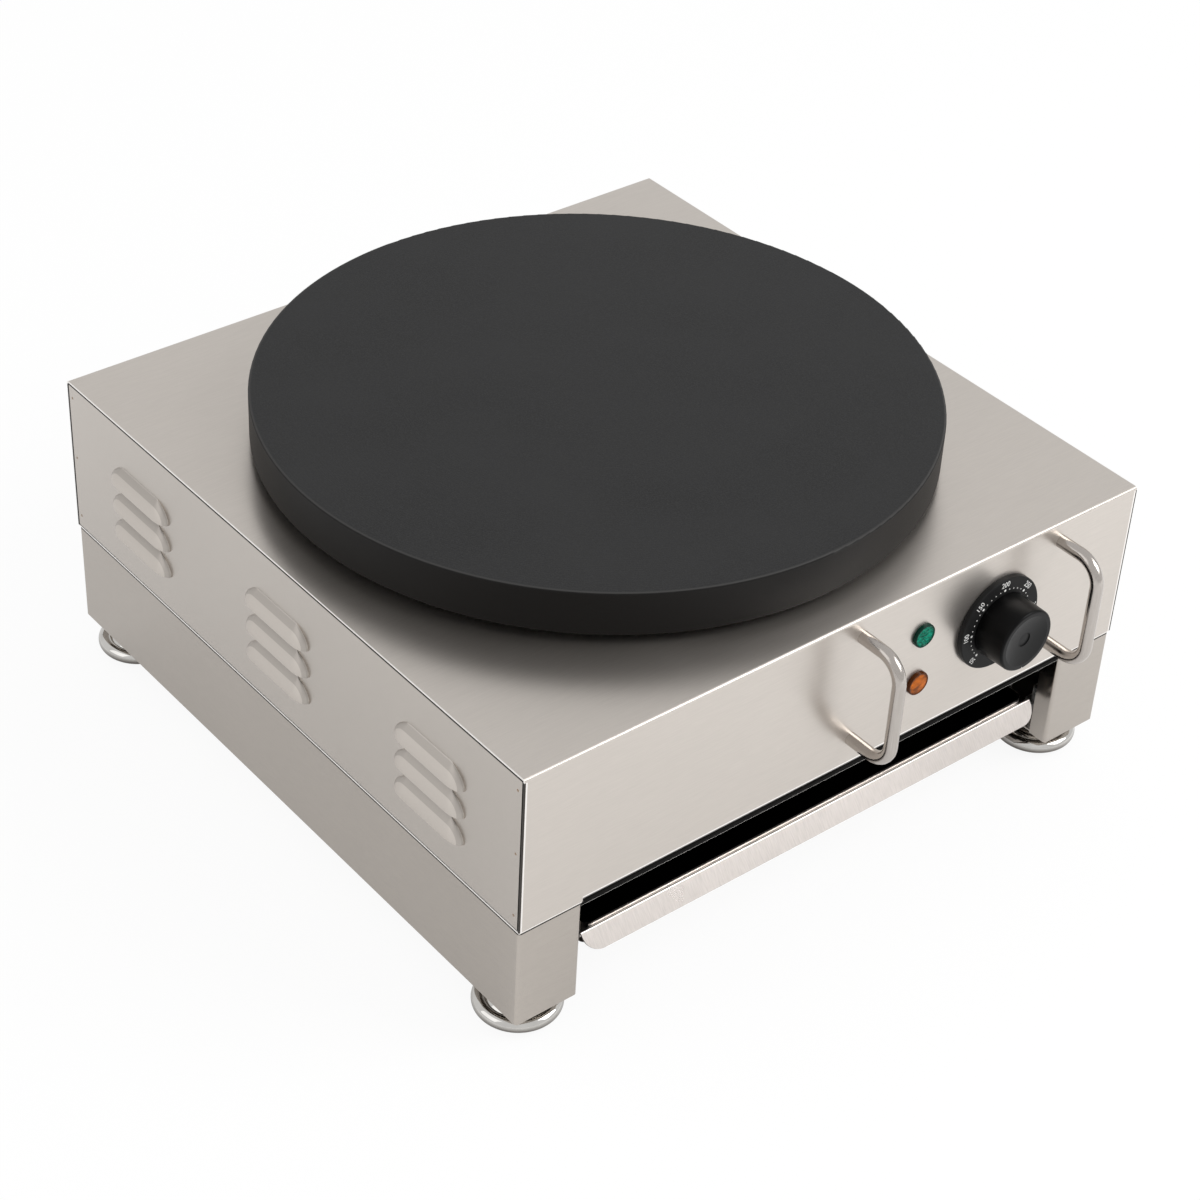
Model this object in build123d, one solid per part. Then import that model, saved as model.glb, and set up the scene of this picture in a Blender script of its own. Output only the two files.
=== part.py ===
from build123d import *
import os
from math import cos, sin, radians, sqrt

# Electric crepe maker. Millimetres, +Z up, +Y towards the back, the front faces -Y.
# The model is drawn round the cabinet's centre line and shifted in Y when it is written,
# so that the origin ends up under the middle of the whole machine, on the standing surface.

# ---------------------------------------------------------------- cabinet
BODY_W = 450.0          # cabinet width, X
BODY_D = 450.0          # cabinet depth, Y
COVER_H = 105.4         # casing, from its lower edge to the top sheet
BASE_H = 67.4           # base skirt
SHEET = 1.0             # stainless sheet
BEND = 0.8              # inner radius of a fold
SEAM = 0.3              # gap in every open seam
PANEL_SEAM = 0.6        # gap round a casing side panel, inside the wrap
BASE_INSET = 0.5        # the base stands back from the casing on every side
OPENING_LIFT = 2.2      # the front sheet is cut this much higher over the tray opening
POST_W = 42.0           # front post of a base side
POST_RETURN = 13.0      # its inner flange
REAR_FLANGE = 26.0      # rear flange of a base side
FOOT_FLANGE = 41.0      # flange that carries the feet, under a base side
BACK_FLANGE = 15.0
SIDE_FLANGE = 12.0      # lower flange of a casing side panel
DECK_LIP = 11.0         # upturned front lip of the deck
DECK_LIP_GAP = 1.0      # beside the posts
ANGLE_LEG = 14.0        # corner angles behind the vertical seams

# ---------------------------------------------------------------- louvres
LOUVRE_L = 61.0
LOUVRE_H = 13.0
LOUVRE_DEPTH = 5.0
LOUVRE_BULGE = 1.6      # how far the hood's section bows out of its chord
LOUVRE_END = 11.0       # length of a hood's rounded end
LOUVRE_ROWS = 3
LOUVRE_COLUMNS = 3
LOUVRE_PITCH_Z = 18.7
LOUVRE_PITCH_Y = 145.0
LOUVRE_TOP = 29.2       # highest hood's upper edge below the top sheet

# ---------------------------------------------------------------- griddle plate
PLATE_R = 203.0
PLATE_LIFT = 5.9        # gap between the rim and the top sheet
PLATE_RIM = 28.0        # height of the rim
PLATE_WEB = 9.0         # thickness of the cooking web
PLATE_WALL = 12.0       # thickness of the rim
PLATE_EDGE = 1.2        # rounding of the rim's edges
STUD_RING_R = 158.0       # radius of the circle of studs
STUD_COUNT = 4
STUD_R = 4.0
STUD_GRIP = 10.0        # stud length in the plate's boss
BOSS_R = 11.0
CENTRE_BOSS_R = 13.0
PAN_RECESS = 2.1        # closing pan above the rim's lower edge
PAN_SHEET = 1.5
PAN_GAP = 0.5           # round the pan, inside the rim
SPACER_R = 9.0
NUT_FLATS = 13.0
NUT_H = 6.5
WASHER_R = 8.0
WASHER_T = 1.6

# ---------------------------------------------------------------- heating
ELEMENT_R = 4.0
OUTER_RING_R = 138.0
INNER_RING_R = 80.0
ELEMENT_BED = 0.1       # gap between a tube and its groove
GROOVE_DEPTH = 2.6
LEG_BEND = 11.0         # radius of the bend from ring to leg
LEG_HALF_GAP = 10.0     # half the distance between the two legs of a ring
LEG_DROP = 20.0         # legs reach this far below the top sheet
PIN_R = 2.0
PIN_L = 8.0
CLAMP_R = 144.0
CLAMP_SHEET = 2.0
MAT_R = 187.0
MAT_AIR = 0.2           # above the mat
MAT_GAP = 0.8           # round the bosses and the screw
WINDOW_X = 46.0         # window for legs and wires in the plate's pan and the top sheet
WINDOW_Y0 = 48.0
WINDOW_Y1 = 149.0
BULB_R = 2.5
BULB_L = 58.0
BULB_RING_R = 110.0
CAPILLARY_R = 1.2
CAPILLARY_BEND = 5.0
CAPILLARY_CURVE = 12.0
CAPILLARY_DROP = 38.0   # its run below the top sheet
CAPILLARY_TURN = 40.0   # its turn towards the front, behind the plate's centre
CUTOUT_R = 8.0
CUTOUT_REACH = 60.0     # overheat cut-out left of the plate's centre

# ---------------------------------------------------------------- front controls
KNOB_INSET = 108.0      # axis from the cabinet's right side
KNOB_DROP = 49.7        # axis below the top sheet
BEZEL_R = 30.5
BEZEL_T = 3.6
BEZEL_BORE = 7.0
BEZEL_EDGE = 0.8
KNOB_R = 20.5
KNOB_TIP_R = 20.0
KNOB_REACH = 25.0       # front of the knob, from the front sheet
KNOB_GAP = 0.4
KNOB_WALL = 3.0
KNOB_EDGE = 1.6
NOTCH_W = 1.4           # pointer notch in the knob's rim
NOTCH_L = 5.0
NOTCH_DEPTH = 1.8
DISH_R = 16.5
DISH_DEPTH = 2.2
BADGE_R = 4.6           # bare round seat in the middle of the dish
BADGE_DEPTH = 0.5
SPINDLE_R = 3.0
SPINDLE_FIT = 0.06
SPINDLE_IN_KNOB = 14.0
SPINDLE_IN_BODY = 14.0
BUSH_R = 5.0
THERMOSTAT_W = 36.0
THERMOSTAT_D = 30.0
THERMOSTAT_H = 34.0
STRAP_H = 46.0
STRAP_W = 20.0
CASE_ROUND = 3.0
STRAP_ROUND = 4.0
THERMOSTAT_SCREW_SPACING = 26.0
THERMOSTAT_SCREW_L = 6.0
TIP_ROOM = 2.0          # hole beyond a screw's tip
TAG_L = 8.0
TAG_W = 6.0
TAG_T = 0.8
TAG_PITCH = 10.0
SMALL_SCREW_R = 2.0
SCREW_FIT = 0.1
SMALL_HEAD_R = 3.6
SMALL_HEAD_T = 2.2
LAMP_INSET = 168.5      # from the cabinet's right side
LAMP_DROP = 33.5        # upper lamp below the top sheet
LAMP_PITCH = 34.0
LAMP_TAG_L = 7.0
LAMP_TAG_W = 4.8
LAMP_TAG_PITCH = 6.8
LENS_R = 7.6
LENS_REACH = 2.4
LENS_STEM_R = 5.8
LENS_STEM_L = 8.0
LAMP_BODY_R = 6.6
LAMP_BODY_L = 24.0
CLIP_R = 9.0
CLIP_T = 1.8
HANDLE_INSET = 61.5     # right handle from the cabinet's right side
HANDLE_PITCH = 155.5    # between the two handles
HANDLE_DROP = 13.3      # upper leg below the top sheet
HANDLE_SPAN = 72.0      # between the legs
HANDLE_ROD_R = 4.0
HANDLE_THREAD_R = 2.5
HANDLE_REACH = 35.0     # outside of the bow from the front sheet
HANDLE_BEND = 15.0
HANDLE_SCREW_L = 12.0
HANDLE_HEAD_R = 4.5
HANDLE_HEAD_T = 3.2

# ---------------------------------------------------------------- rear and wiring
GLAND_INSET = 75.0      # from the cabinet's right side
GLAND_DROP = 80.0
GLAND_REACH = 14.0
GLAND_HEX = 5.0
GLAND_FLATS = 22.0
GLAND_NECK_R = 8.0
GLAND_TIP_R = 7.6
GLAND_EDGE = 1.5
GLAND_BORE = 4.5
GLAND_INSIDE = 12.0
GLAND_NUT_T = 4.0
EARTH_INSET = 33.0      # from the cabinet's right side
EARTH_R = 2.5
EARTH_FLATS = 8.0
EARTH_NUT_T = 4.0
EARTH_WASHER_R = 5.0
EARTH_WASHER_T = 1.0
EARTH_REACH = 10.0
EARTH_INSIDE = 6.0
BLOCK_W = 56.0
BLOCK_D = 22.0
BLOCK_H = 18.0
BLOCK_WAYS = 3
BLOCK_INSET = 75.0      # from the cabinet's back
BLOCK_ROUND = 3.0
WAY_Z = 7.0             # wire ways above the block's foot
WELL_R = 2.6
WELL_SPACING = 12.0
WELL_SCREW_R = 2.5
WELL_SINK = 2.0         # screw heads below the block's top
WIRE_R = 1.5
WIRE_BEND = 9.0
WIRE_SLACK = 22.5       # straight start of a lead at a tag
WIRE_GRIP = 4.0         # lead inside the terminal block
REAR_SCREW_INSET = 10.0
REAR_SCREW_END = 20.0   # casing's rear screws from its upper and lower edge
BACK_SCREW_END = 16.0   # base's rear screws from its upper and lower edge
DECK_SCREW_TOP = 5.0    # deck screws above the deck
DECK_SCREW_END = 60.0   # deck screws from the cabinet's front and back
SCREW_L = 8.0
SCREW_EDGE = 0.9

# ---------------------------------------------------------------- drip tray
TRAY_INSET = 12.5       # tray's sides from the posts
TRAY_BACK = 35.5        # tray's back from the cabinet's back
TRAY_SHEET = 1.0
TRAY_DEPTH = 16.0
TRAY_CORNER = 6.0
LIP_INSET = 9.1         # lip's ends from the posts
LIP_TOP_DROP = 32.7     # lip's ridge below the base's upper edge
LIP_RUN = 9.0           # how far the lip slopes forward
LIP_FALL = 12.8         # and down
LIP_CORNER = 11.0
LIP_RECESS = 2.5        # lip's lower edge behind the front sheet
GUIDE_SIDE_GAP = 0.5
GUIDE_LIFT = 0.3        # tray floor above the guide's shelf
GUIDE_SHELF = 12.0
GUIDE_TOP = 19.0
GUIDE_SETBACK = 24.0

# ---------------------------------------------------------------- feet
FOOT_H = 20.0           # machine's underside above the standing surface
FOOT_INSET_X = 22.5
FOOT_INSET_Y = 27.0
PAD_R = 19.0
PAD_T = 3.5
BEAD_R = 4.4            # rolled rim
BEAD_RING_R = 21.4        # radius of the rim's centre line
CUP_SHOULDER_R = 9.0
CUP_SHOULDER_Z = 13.6
CUP_FLOOR = 2.0
PAD_EDGE = 1.0
FOOT_STUD_R = 4.0
FOOT_STUD_TOP = 18.0    # stud above the machine's underside
STUD_POINT = 0.8
FOOT_HEX = 13.0
NECK_GAP = 0.3
THREAD_FIT = 0.05

# ---------------------------------------------------------------- derived places
HALF_W = BODY_W / 2
HALF_D = BODY_D / 2
BASE_X = HALF_W - BASE_INSET
BASE_Y = HALF_D - BASE_INSET
BASE_Z = FOOT_H
BASE_TOP = BASE_Z + BASE_H
DECK_Z = BASE_TOP + SEAM
DECK_TOP = DECK_Z + SHEET
COVER_Z = DECK_TOP + SEAM
TOP = COVER_Z + COVER_H
INNER_FRONT = -HALF_D + SHEET
INNER_BACK = HALF_D - SHEET
POST_X = BASE_X - POST_W
PLATE_Z = TOP + PLATE_LIFT
PLATE_TOP = PLATE_Z + PLATE_RIM
WEB_Z = PLATE_TOP - PLATE_WEB
RIM_INNER = PLATE_R - PLATE_WALL
ELEMENT_Z = WEB_Z + GROOVE_DEPTH - ELEMENT_R - ELEMENT_BED
CLAMP_TOP = ELEMENT_Z - ELEMENT_R - ELEMENT_BED
PAN_Z = PLATE_Z + PAN_RECESS
PAN_TOP = PAN_Z + PAN_SHEET
TRAY_RIDGE_Z = BASE_TOP - LIP_TOP_DROP
TRAY_Z = TRAY_RIDGE_Z - TRAY_DEPTH
LIP_EDGE_Y = -HALF_D + LIP_RECESS
LIP_RIDGE_Y = LIP_EDGE_Y + LIP_RUN
TRAY_X = POST_X - TRAY_INSET
TRAY_FRONT = LIP_RIDGE_Y + TRAY_SHEET
TRAY_L = HALF_D - TRAY_BACK - TRAY_FRONT
GUIDE_WEB_X = TRAY_X + GUIDE_SIDE_GAP
FOOT_X = HALF_W - FOOT_INSET_X
FOOT_Y = HALF_D - FOOT_INSET_Y
FLANGE_TOP = BASE_Z + SHEET
CENTRE_SHIFT = (HANDLE_REACH - GLAND_REACH) / 2
ELEMENT_RINGS = (OUTER_RING_R, INNER_RING_R)
KNOB_X = HALF_W - KNOB_INSET
KNOB_Z = TOP - KNOB_DROP
LAMP_X = HALF_W - LAMP_INSET
LAMP_ZS = (TOP - LAMP_DROP, TOP - LAMP_DROP - LAMP_PITCH)
HANDLE_XS = (HALF_W - HANDLE_INSET - HANDLE_PITCH, HALF_W - HANDLE_INSET)
HANDLE_ZS = (TOP - HANDLE_DROP, TOP - HANDLE_DROP - HANDLE_SPAN)
THERMOSTAT_SCREW_ZS = tuple(KNOB_Z + s * THERMOSTAT_SCREW_SPACING / 2 for s in (-1, 1))
THERMOSTAT_BACK = INNER_FRONT + SHEET + THERMOSTAT_D
THERMOSTAT_TAG_Y = THERMOSTAT_BACK + TAG_L
LAMP_BACK = -HALF_D + LENS_STEM_L + LAMP_BODY_L
LAMP_TAG_Y = LAMP_BACK + LAMP_TAG_L
GLAND_X = HALF_W - GLAND_INSET
GLAND_Z = TOP - GLAND_DROP
EARTH_X = HALF_W - EARTH_INSET
BLOCK_Y = HALF_D - BLOCK_INSET
REAR_X = HALF_W - REAR_SCREW_INSET
REAR_ZS = (COVER_Z + REAR_SCREW_END, TOP - REAR_SCREW_END)
DECK_SCREW_X = HALF_W - SIDE_FLANGE / 2 - SHEET
DECK_SCREW_Y = HALF_D - DECK_SCREW_END
BACK_SCREW_X = BASE_X - REAR_FLANGE / 2
BACK_SCREW_ZS = (BASE_Z + BACK_SCREW_END, BASE_TOP - BACK_SCREW_END)

os.makedirs("parts", exist_ok=True)


# ---------------------------------------------------------------- helpers
def write(name, shape):
    """Write one piece, shifted so that the origin is under the middle of the machine."""
    placed = Pos(0, CENTRE_SHIFT, 0) * shape
    export_step(Compound(children=list(placed.solids())), f"parts/{name}.step")


def block(x0, x1, y0, y1, z0, z1):
    """A box between two corners."""
    return Pos((x0 + x1) / 2, (y0 + y1) / 2, (z0 + z1) / 2) * Box(x1 - x0, y1 - y0, z1 - z0)


def rod_z(x, y, z0, z1, radius):
    """A round bar standing between two heights."""
    return Pos(x, y, (z0 + z1) / 2) * Cylinder(radius, z1 - z0)


def rod_y(x, z, y0, y1, radius):
    """A round bar lying along Y."""
    return Pos(x, (y0 + y1) / 2, z) * Rot(90, 0, 0) * Cylinder(radius, y1 - y0)


def hex_z(x, y, z0, z1, flats):
    """A hexagonal prism standing between two heights."""
    face = RegularPolygon(radius=flats / 2, side_count=6, major_radius=False)
    return Pos(x, y, z0) * extrude(face, amount=z1 - z0)


def hex_y(x, z, y0, y1, flats):
    """A hexagonal prism lying along Y."""
    face = RegularPolygon(radius=flats / 2, side_count=6, major_radius=False)
    return Pos(x, y1, z) * Rot(90, 0, 0) * extrude(face, amount=y1 - y0)


def mitred(path, gap):
    """The path moved sideways by gap, to its right, with mitred corners."""
    steps = [(b - a).normalized() for a, b in zip(path, path[1:])]
    moved = []
    for index, point in enumerate(path):
        before = steps[max(index - 1, 0)]
        after = steps[min(index, len(steps) - 1)]
        sides = Vector(before.Y + after.Y, -before.X - after.X)
        moved.append(point + sides * (gap / (1 + before.dot(after))))
    return moved


def rounded_at(face, point, radius):
    """The face with its corner nearest to the point rounded."""
    corner = face.vertices().sort_by_distance(point)[0]
    return fillet(corner, radius)


def folded(points, sheet=SHEET, bend=BEND, side=1):
    """Section of a sheet folded along points; the metal lies right of the path, or left for -1."""
    path = [Vector(*point) for point in points]
    other = mitred(path, side * sheet)
    outline = Polyline(*path, *reversed(other), close=True)
    face = Sketch() + make_face(outline)
    for index in range(1, len(path) - 1):
        before = path[index] - path[index - 1]
        after = path[index + 1] - path[index]
        turns_right = before.cross(after).Z < 0
        inside_is_other = turns_right == (side > 0)
        face = rounded_at(face, path[index], bend + sheet if inside_is_other else bend)
        face = rounded_at(face, other[index], bend if inside_is_other else bend + sheet)
    return face


def along_x(face, half_length):
    """A YZ section run out along X, to both sides of the middle."""
    return extrude(Plane.YZ * face, amount=half_length, both=True)


def along_y(face, y0, y1):
    """An XZ section run out along Y."""
    return Pos(0, (y0 + y1) / 2, 0) * extrude(Plane.XZ * face, amount=(y1 - y0) / 2, both=True)


def turned(points, radii=()):
    """A solid of revolution about Z from its half section; radii rounds (point index, radius)."""
    path = [Vector(*point) for point in points]
    face = Sketch() + make_face(Polyline(*path, close=True))
    for index, radius in radii:
        face = rounded_at(face, path[index], radius)
    return revolve(Plane.XZ * face, Axis.Z)


def left_of(shape):
    """The same piece on the machine's left side."""
    return mirror(shape, about=Plane.YZ)


def tube_along(wire, radius):
    """A round section swept along a wire."""
    start = Plane(origin=wire @ 0, z_dir=wire % 0)
    return sweep(start * Circle(radius), path=wire)


def bolt_places(ring, count, turn=45.0):
    """Places on a circle round the plate's centre."""
    angles = [radians(turn + 360.0 * index / count) for index in range(count)]
    return [(ring * cos(angle), ring * sin(angle)) for angle in angles]


def both_signs(x, y):
    """The four corner places of a rectangle."""
    return [(sx * x, sy * y) for sx in (-1, 1) for sy in (-1, 1)]


STUDS = bolt_places(STUD_RING_R, STUD_COUNT)
FEET = {
    "front_left": (-FOOT_X, -FOOT_Y),
    "front_right": (FOOT_X, -FOOT_Y),
    "rear_left": (-FOOT_X, FOOT_Y),
    "rear_right": (FOOT_X, FOOT_Y),
}


# ---------------------------------------------------------------- casing
def window(z0, z1, grow=0.0):
    """The opening that lets the heater legs and wires through a sheet."""
    half = WINDOW_X / 2 + grow
    cut = block(-half, half, WINDOW_Y0 - grow, WINDOW_Y1 + grow, z0, z1)
    return fillet(cut.edges().filter_by(Axis.Z), half / 2)


def cover_wrap():
    """Top, front and back of the casing: one sheet folded twice."""
    section = folded([(-HALF_D, COVER_Z), (-HALF_D, TOP), (HALF_D, TOP), (HALF_D, COVER_Z)])
    wrap = along_x(section, HALF_W)
    cuts = [block(-POST_X, POST_X, -HALF_D - 1, INNER_FRONT + 1, COVER_Z - 1, COVER_Z + OPENING_LIFT)]
    cuts += [rod_z(x, y, TOP - SHEET - 1, TOP + 1, STUD_R + SCREW_FIT) for x, y in STUDS]
    cuts += [window(TOP - 2 * SHEET, TOP + 1)]
    front = (-HALF_D - 1, INNER_FRONT + 1)
    back = (INNER_BACK - 1, HALF_D + 1)
    cuts += [rod_y(KNOB_X, KNOB_Z, *front, BUSH_R + SEAM)]
    cuts += [rod_y(KNOB_X, z, *front, SMALL_SCREW_R + SCREW_FIT) for z in THERMOSTAT_SCREW_ZS]
    cuts += [rod_y(LAMP_X, z, *front, LENS_STEM_R + SCREW_FIT) for z in LAMP_ZS]
    cuts += [rod_y(x, z, *front, HANDLE_THREAD_R + SCREW_FIT) for x in HANDLE_XS for z in HANDLE_ZS]
    cuts += [rod_y(GLAND_X, GLAND_Z, *back, GLAND_NECK_R + SCREW_FIT)]
    cuts += [rod_y(EARTH_X, GLAND_Z, *back, EARTH_R + SCREW_FIT)]
    cuts += [rod_y(sx * REAR_X, z, *back, SMALL_SCREW_R + SCREW_FIT) for sx in (-1, 1) for z in REAR_ZS]
    return wrap - cuts


def hood_section(shrink):
    """Half section of a louvre hood, x outwards from the panel, z up from its open edge."""
    chord = sqrt(LOUVRE_DEPTH ** 2 + LOUVRE_H ** 2)
    top = (-shrink, LOUVRE_H)
    low = (LOUVRE_DEPTH - shrink, 0)
    middle = (
        LOUVRE_DEPTH / 2 - shrink + LOUVRE_BULGE * LOUVRE_H / chord,
        LOUVRE_H / 2 + LOUVRE_BULGE * LOUVRE_DEPTH / chord,
    )
    outline = ThreePointArc(top, middle, low) + Polyline(low, (-shrink, 0), top)
    return Sketch() + make_face(outline)


def hood(shrink, turn_from):
    """A pressed hood with rounded ends about its middle; shrink is the sheet for the inner side."""
    section = hood_section(shrink)
    half = LOUVRE_L / 2 - LOUVRE_END
    end_section = section & Pos(LOUVRE_DEPTH, LOUVRE_H / 2) * Rectangle(2 * LOUVRE_DEPTH, LOUVRE_H)
    end = scale(revolve(Plane.XZ * end_section, Axis.Z), by=(1, LOUVRE_END / LOUVRE_DEPTH, 1))
    body = along_y(section, -half, half) + Pos(0, -half, 0) * end + Pos(0, half, 0) * end
    keep = block(turn_from, 2 * LOUVRE_DEPTH, -LOUVRE_L, LOUVRE_L, -1, LOUVRE_H + 1)
    return body & keep


def louvre_places():
    """Open lower edges of all the hoods of one side panel, as y and z."""
    highest = TOP - LOUVRE_TOP - LOUVRE_H
    rows = [highest - LOUVRE_PITCH_Z * row for row in range(LOUVRE_ROWS)]
    middle = (LOUVRE_COLUMNS - 1) / 2
    columns = [LOUVRE_PITCH_Y * (column - middle) for column in range(LOUVRE_COLUMNS)]
    return [(y, z) for y in columns for z in rows]


def cover_side():
    """Right side panel of the casing with its lower flange and louvres."""
    section = folded([
        (HALF_W, TOP - SHEET - PANEL_SEAM),
        (HALF_W, COVER_Z),
        (HALF_W - SHEET - SIDE_FLANGE, COVER_Z),
    ])
    half = HALF_D - SHEET - PANEL_SEAM
    panel = along_y(section, -half, half)
    top_corners = panel.edges().filter_by(Axis.X).sort_by(Axis.Z)[-2:]
    panel = fillet(top_corners, BEND)
    places = [Pos(HALF_W, y, z) for y, z in louvre_places()]
    outer = hood(0.0, -SHEET / 2)
    inner = hood(SHEET * 0.8, -2 * SHEET)
    panel = panel + [place * outer for place in places]
    panel = panel - [place * inner for place in places]
    holes = [rod_z(DECK_SCREW_X, s * DECK_SCREW_Y, COVER_Z - 1, COVER_Z + 2 * SHEET,
                   SMALL_SCREW_R + SCREW_FIT) for s in (-1, 1)]
    return panel - holes


def corner_angles():
    """Four angles behind the casing's vertical seams, welded to both sheets."""
    corner_x = HALF_W - SHEET
    corner_y = HALF_D - SHEET
    path = [(corner_x - ANGLE_LEG, corner_y), (corner_x, corner_y), (corner_x, corner_y - ANGLE_LEG)]
    low = COVER_Z + 2 * SHEET + BEND
    high = TOP - 2 * SHEET - BEND
    angle = Pos(0, 0, low) * extrude(folded(path), amount=high - low)
    for z in REAR_ZS:
        angle = angle - rod_y(REAR_X, z, corner_y - 2 * SHEET, corner_y + 1, SMALL_SCREW_R + SCREW_FIT)
    right = [angle, mirror(angle, about=Plane.XZ)]
    return Part() + right + [left_of(piece) for piece in right]


def deck_plate():
    """Floor of the casing, clamped in the seam; its upturned lip clears the handles' screws."""
    flat = block(-BASE_X, BASE_X, -BASE_Y, BASE_Y, DECK_Z, DECK_TOP)
    lip_y = INNER_FRONT + SEAM
    lip_x = POST_X - DECK_LIP_GAP
    section = folded([(lip_y, DECK_Z + DECK_LIP), (lip_y, DECK_Z), (0, DECK_Z)], side=-1)
    deck = flat - block(-lip_x, lip_x, -BASE_Y - 1, lip_y + 4 * SHEET, DECK_Z - 1, DECK_TOP + 1)
    deck = deck + along_x(section, lip_x)
    for x, y in both_signs(DECK_SCREW_X, DECK_SCREW_Y):
        deck = deck - rod_z(x, y, DECK_Z - 1, DECK_TOP + 1, SMALL_SCREW_R + SCREW_FIT)
    head_y = INNER_FRONT + HANDLE_HEAD_T + SEAM
    for x in HANDLE_XS:
        deck = deck - rod_y(x, HANDLE_ZS[-1], -HALF_D, head_y, HANDLE_HEAD_R + SEAM)
    return deck


# ---------------------------------------------------------------- base
def base_side():
    """Right base side: front post with its return, wall, rear flange and foot flange."""
    inside = BASE_X - POST_W
    path = [
        (BASE_X - REAR_FLANGE, BASE_Y),
        (BASE_X, BASE_Y),
        (BASE_X, -BASE_Y),
        (inside, -BASE_Y),
        (inside, -BASE_Y + POST_RETURN),
    ]
    wall = Pos(0, 0, BASE_Z) * extrude(folded(path), amount=BASE_H)
    ends = BASE_Y - SHEET - SEAM
    rear = ends - SHEET - SEAM
    flange = block(BASE_X - FOOT_FLANGE, BASE_X - SHEET / 2, -ends, rear, BASE_Z, FLANGE_TOP)
    side = wall + flange
    for y in (-FOOT_Y, FOOT_Y):
        side = side - rod_z(FOOT_X, y, BASE_Z - 1, FLANGE_TOP + 1, FOOT_STUD_R + SCREW_FIT)
    for z in BACK_SCREW_ZS:
        side = side - rod_y(BACK_SCREW_X, z, BASE_Y - 2 * SHEET, BASE_Y + 1, SMALL_SCREW_R + SCREW_FIT)
    return side


def base_back():
    """Back panel of the base, behind the rear flanges, with a short lower flange."""
    y = BASE_Y - SHEET
    section = folded([(y, BASE_TOP), (y, BASE_Z), (y - SHEET - BACK_FLANGE, BASE_Z)])
    panel = along_x(section, BASE_X - SHEET - BEND - SEAM)
    clear_x = BASE_X - FOOT_FLANGE - SEAM
    for s in (-1, 1):
        near, far = sorted((s * clear_x, s * BASE_X))
        panel = panel - block(near, far, 0, y - SHEET, BASE_Z - 1, FLANGE_TOP + BEND)
        for z in BACK_SCREW_ZS:
            panel = panel - rod_y(s * BACK_SCREW_X, z, y - 2 * SHEET, y + 1, SMALL_SCREW_R + SCREW_FIT)
    return panel


def tray_guide():
    """Right guide of the tray: hung from the deck, with a shelf under the tray's floor."""
    shelf_z = TRAY_Z - GUIDE_LIFT
    path = [
        (GUIDE_WEB_X + GUIDE_TOP, DECK_Z),
        (GUIDE_WEB_X, DECK_Z),
        (GUIDE_WEB_X, shelf_z),
        (GUIDE_WEB_X - GUIDE_SHELF, shelf_z),
    ]
    length = TRAY_L - GUIDE_SETBACK
    front = -HALF_D + GUIDE_SETBACK
    return along_y(folded(path, side=-1), front, front + length)


# ---------------------------------------------------------------- drip tray
def drip_tray():
    """Shallow pan whose front wall is folded over into a sloping pull lip."""
    front = TRAY_FRONT
    outer = block(-TRAY_X, TRAY_X, front, front + TRAY_L, TRAY_Z, TRAY_RIDGE_Z)
    outer = fillet(outer.edges().filter_by(Axis.Z), TRAY_CORNER)
    outer = fillet(outer.faces().sort_by(Axis.Z)[0].edges(), 2 * TRAY_SHEET)
    pan = outer - inner_pan(front)
    section = folded(
        [(front, TRAY_RIDGE_Z - 3 * TRAY_SHEET - LIP_FALL / 4), (front, TRAY_RIDGE_Z),
         (LIP_EDGE_Y, TRAY_RIDGE_Z - LIP_FALL)],
        sheet=TRAY_SHEET, bend=TRAY_SHEET / 4, side=-1)
    lip = along_x(section, POST_X - LIP_INSET)
    ends = lip.faces().sort_by(Axis.X)
    corners = [near_lip_corner(ends[0]), near_lip_corner(ends[-1])]
    lip = fillet(corners, LIP_CORNER)
    return pan + lip


def inner_pan(front):
    """The space inside the tray, open upwards."""
    half = TRAY_X - TRAY_SHEET
    back = front + TRAY_L - TRAY_SHEET
    hollow = block(-half, half, front + TRAY_SHEET, back, TRAY_Z + TRAY_SHEET, TRAY_RIDGE_Z + TRAY_DEPTH)
    hollow = fillet(hollow.edges().filter_by(Axis.Z), TRAY_CORNER - TRAY_SHEET)
    return fillet(hollow.faces().sort_by(Axis.Z)[0].edges(), TRAY_SHEET)


def near_lip_corner(end_face):
    """The short edge at the free end of the lip's end face."""
    tip = Vector(end_face.center().X, LIP_EDGE_Y, TRAY_RIDGE_Z - LIP_FALL)
    return end_face.edges().sort_by(lambda edge: (edge.center() - tip).length)[0]


# ---------------------------------------------------------------- griddle plate and heating
def griddle_plate():
    """Cast plate: cooking web, rim, bosses for the studs and grooves for the elements."""
    half_section = [
        (0, PLATE_TOP), (PLATE_R, PLATE_TOP), (PLATE_R, PLATE_Z), (RIM_INNER, PLATE_Z),
        (RIM_INNER, WEB_Z), (CENTRE_BOSS_R, WEB_Z), (CENTRE_BOSS_R, CLAMP_TOP), (0, CLAMP_TOP),
    ]
    plate = turned(half_section, [(1, PLATE_EDGE), (2, PLATE_EDGE), (4, 3 * PLATE_EDGE)])
    for ring in ELEMENT_RINGS:
        groove = Pos(ring, 0) * Circle(ELEMENT_R + ELEMENT_BED)
        plate = plate - Pos(0, 0, ELEMENT_Z) * revolve(Plane.XZ * groove, Axis.Z)
    for x, y in STUDS:
        plate = plate + rod_z(x, y, PAN_TOP, WEB_Z + 1, BOSS_R)
    for x, y in STUDS:
        plate = plate - rod_z(x, y, PAN_TOP - 1, PAN_TOP + STUD_GRIP + SEAM, STUD_R + THREAD_FIT)
    return plate - rod_z(0, 0, CLAMP_TOP - 1, CLAMP_TOP + STUD_GRIP + SEAM, STUD_R + THREAD_FIT)


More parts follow.
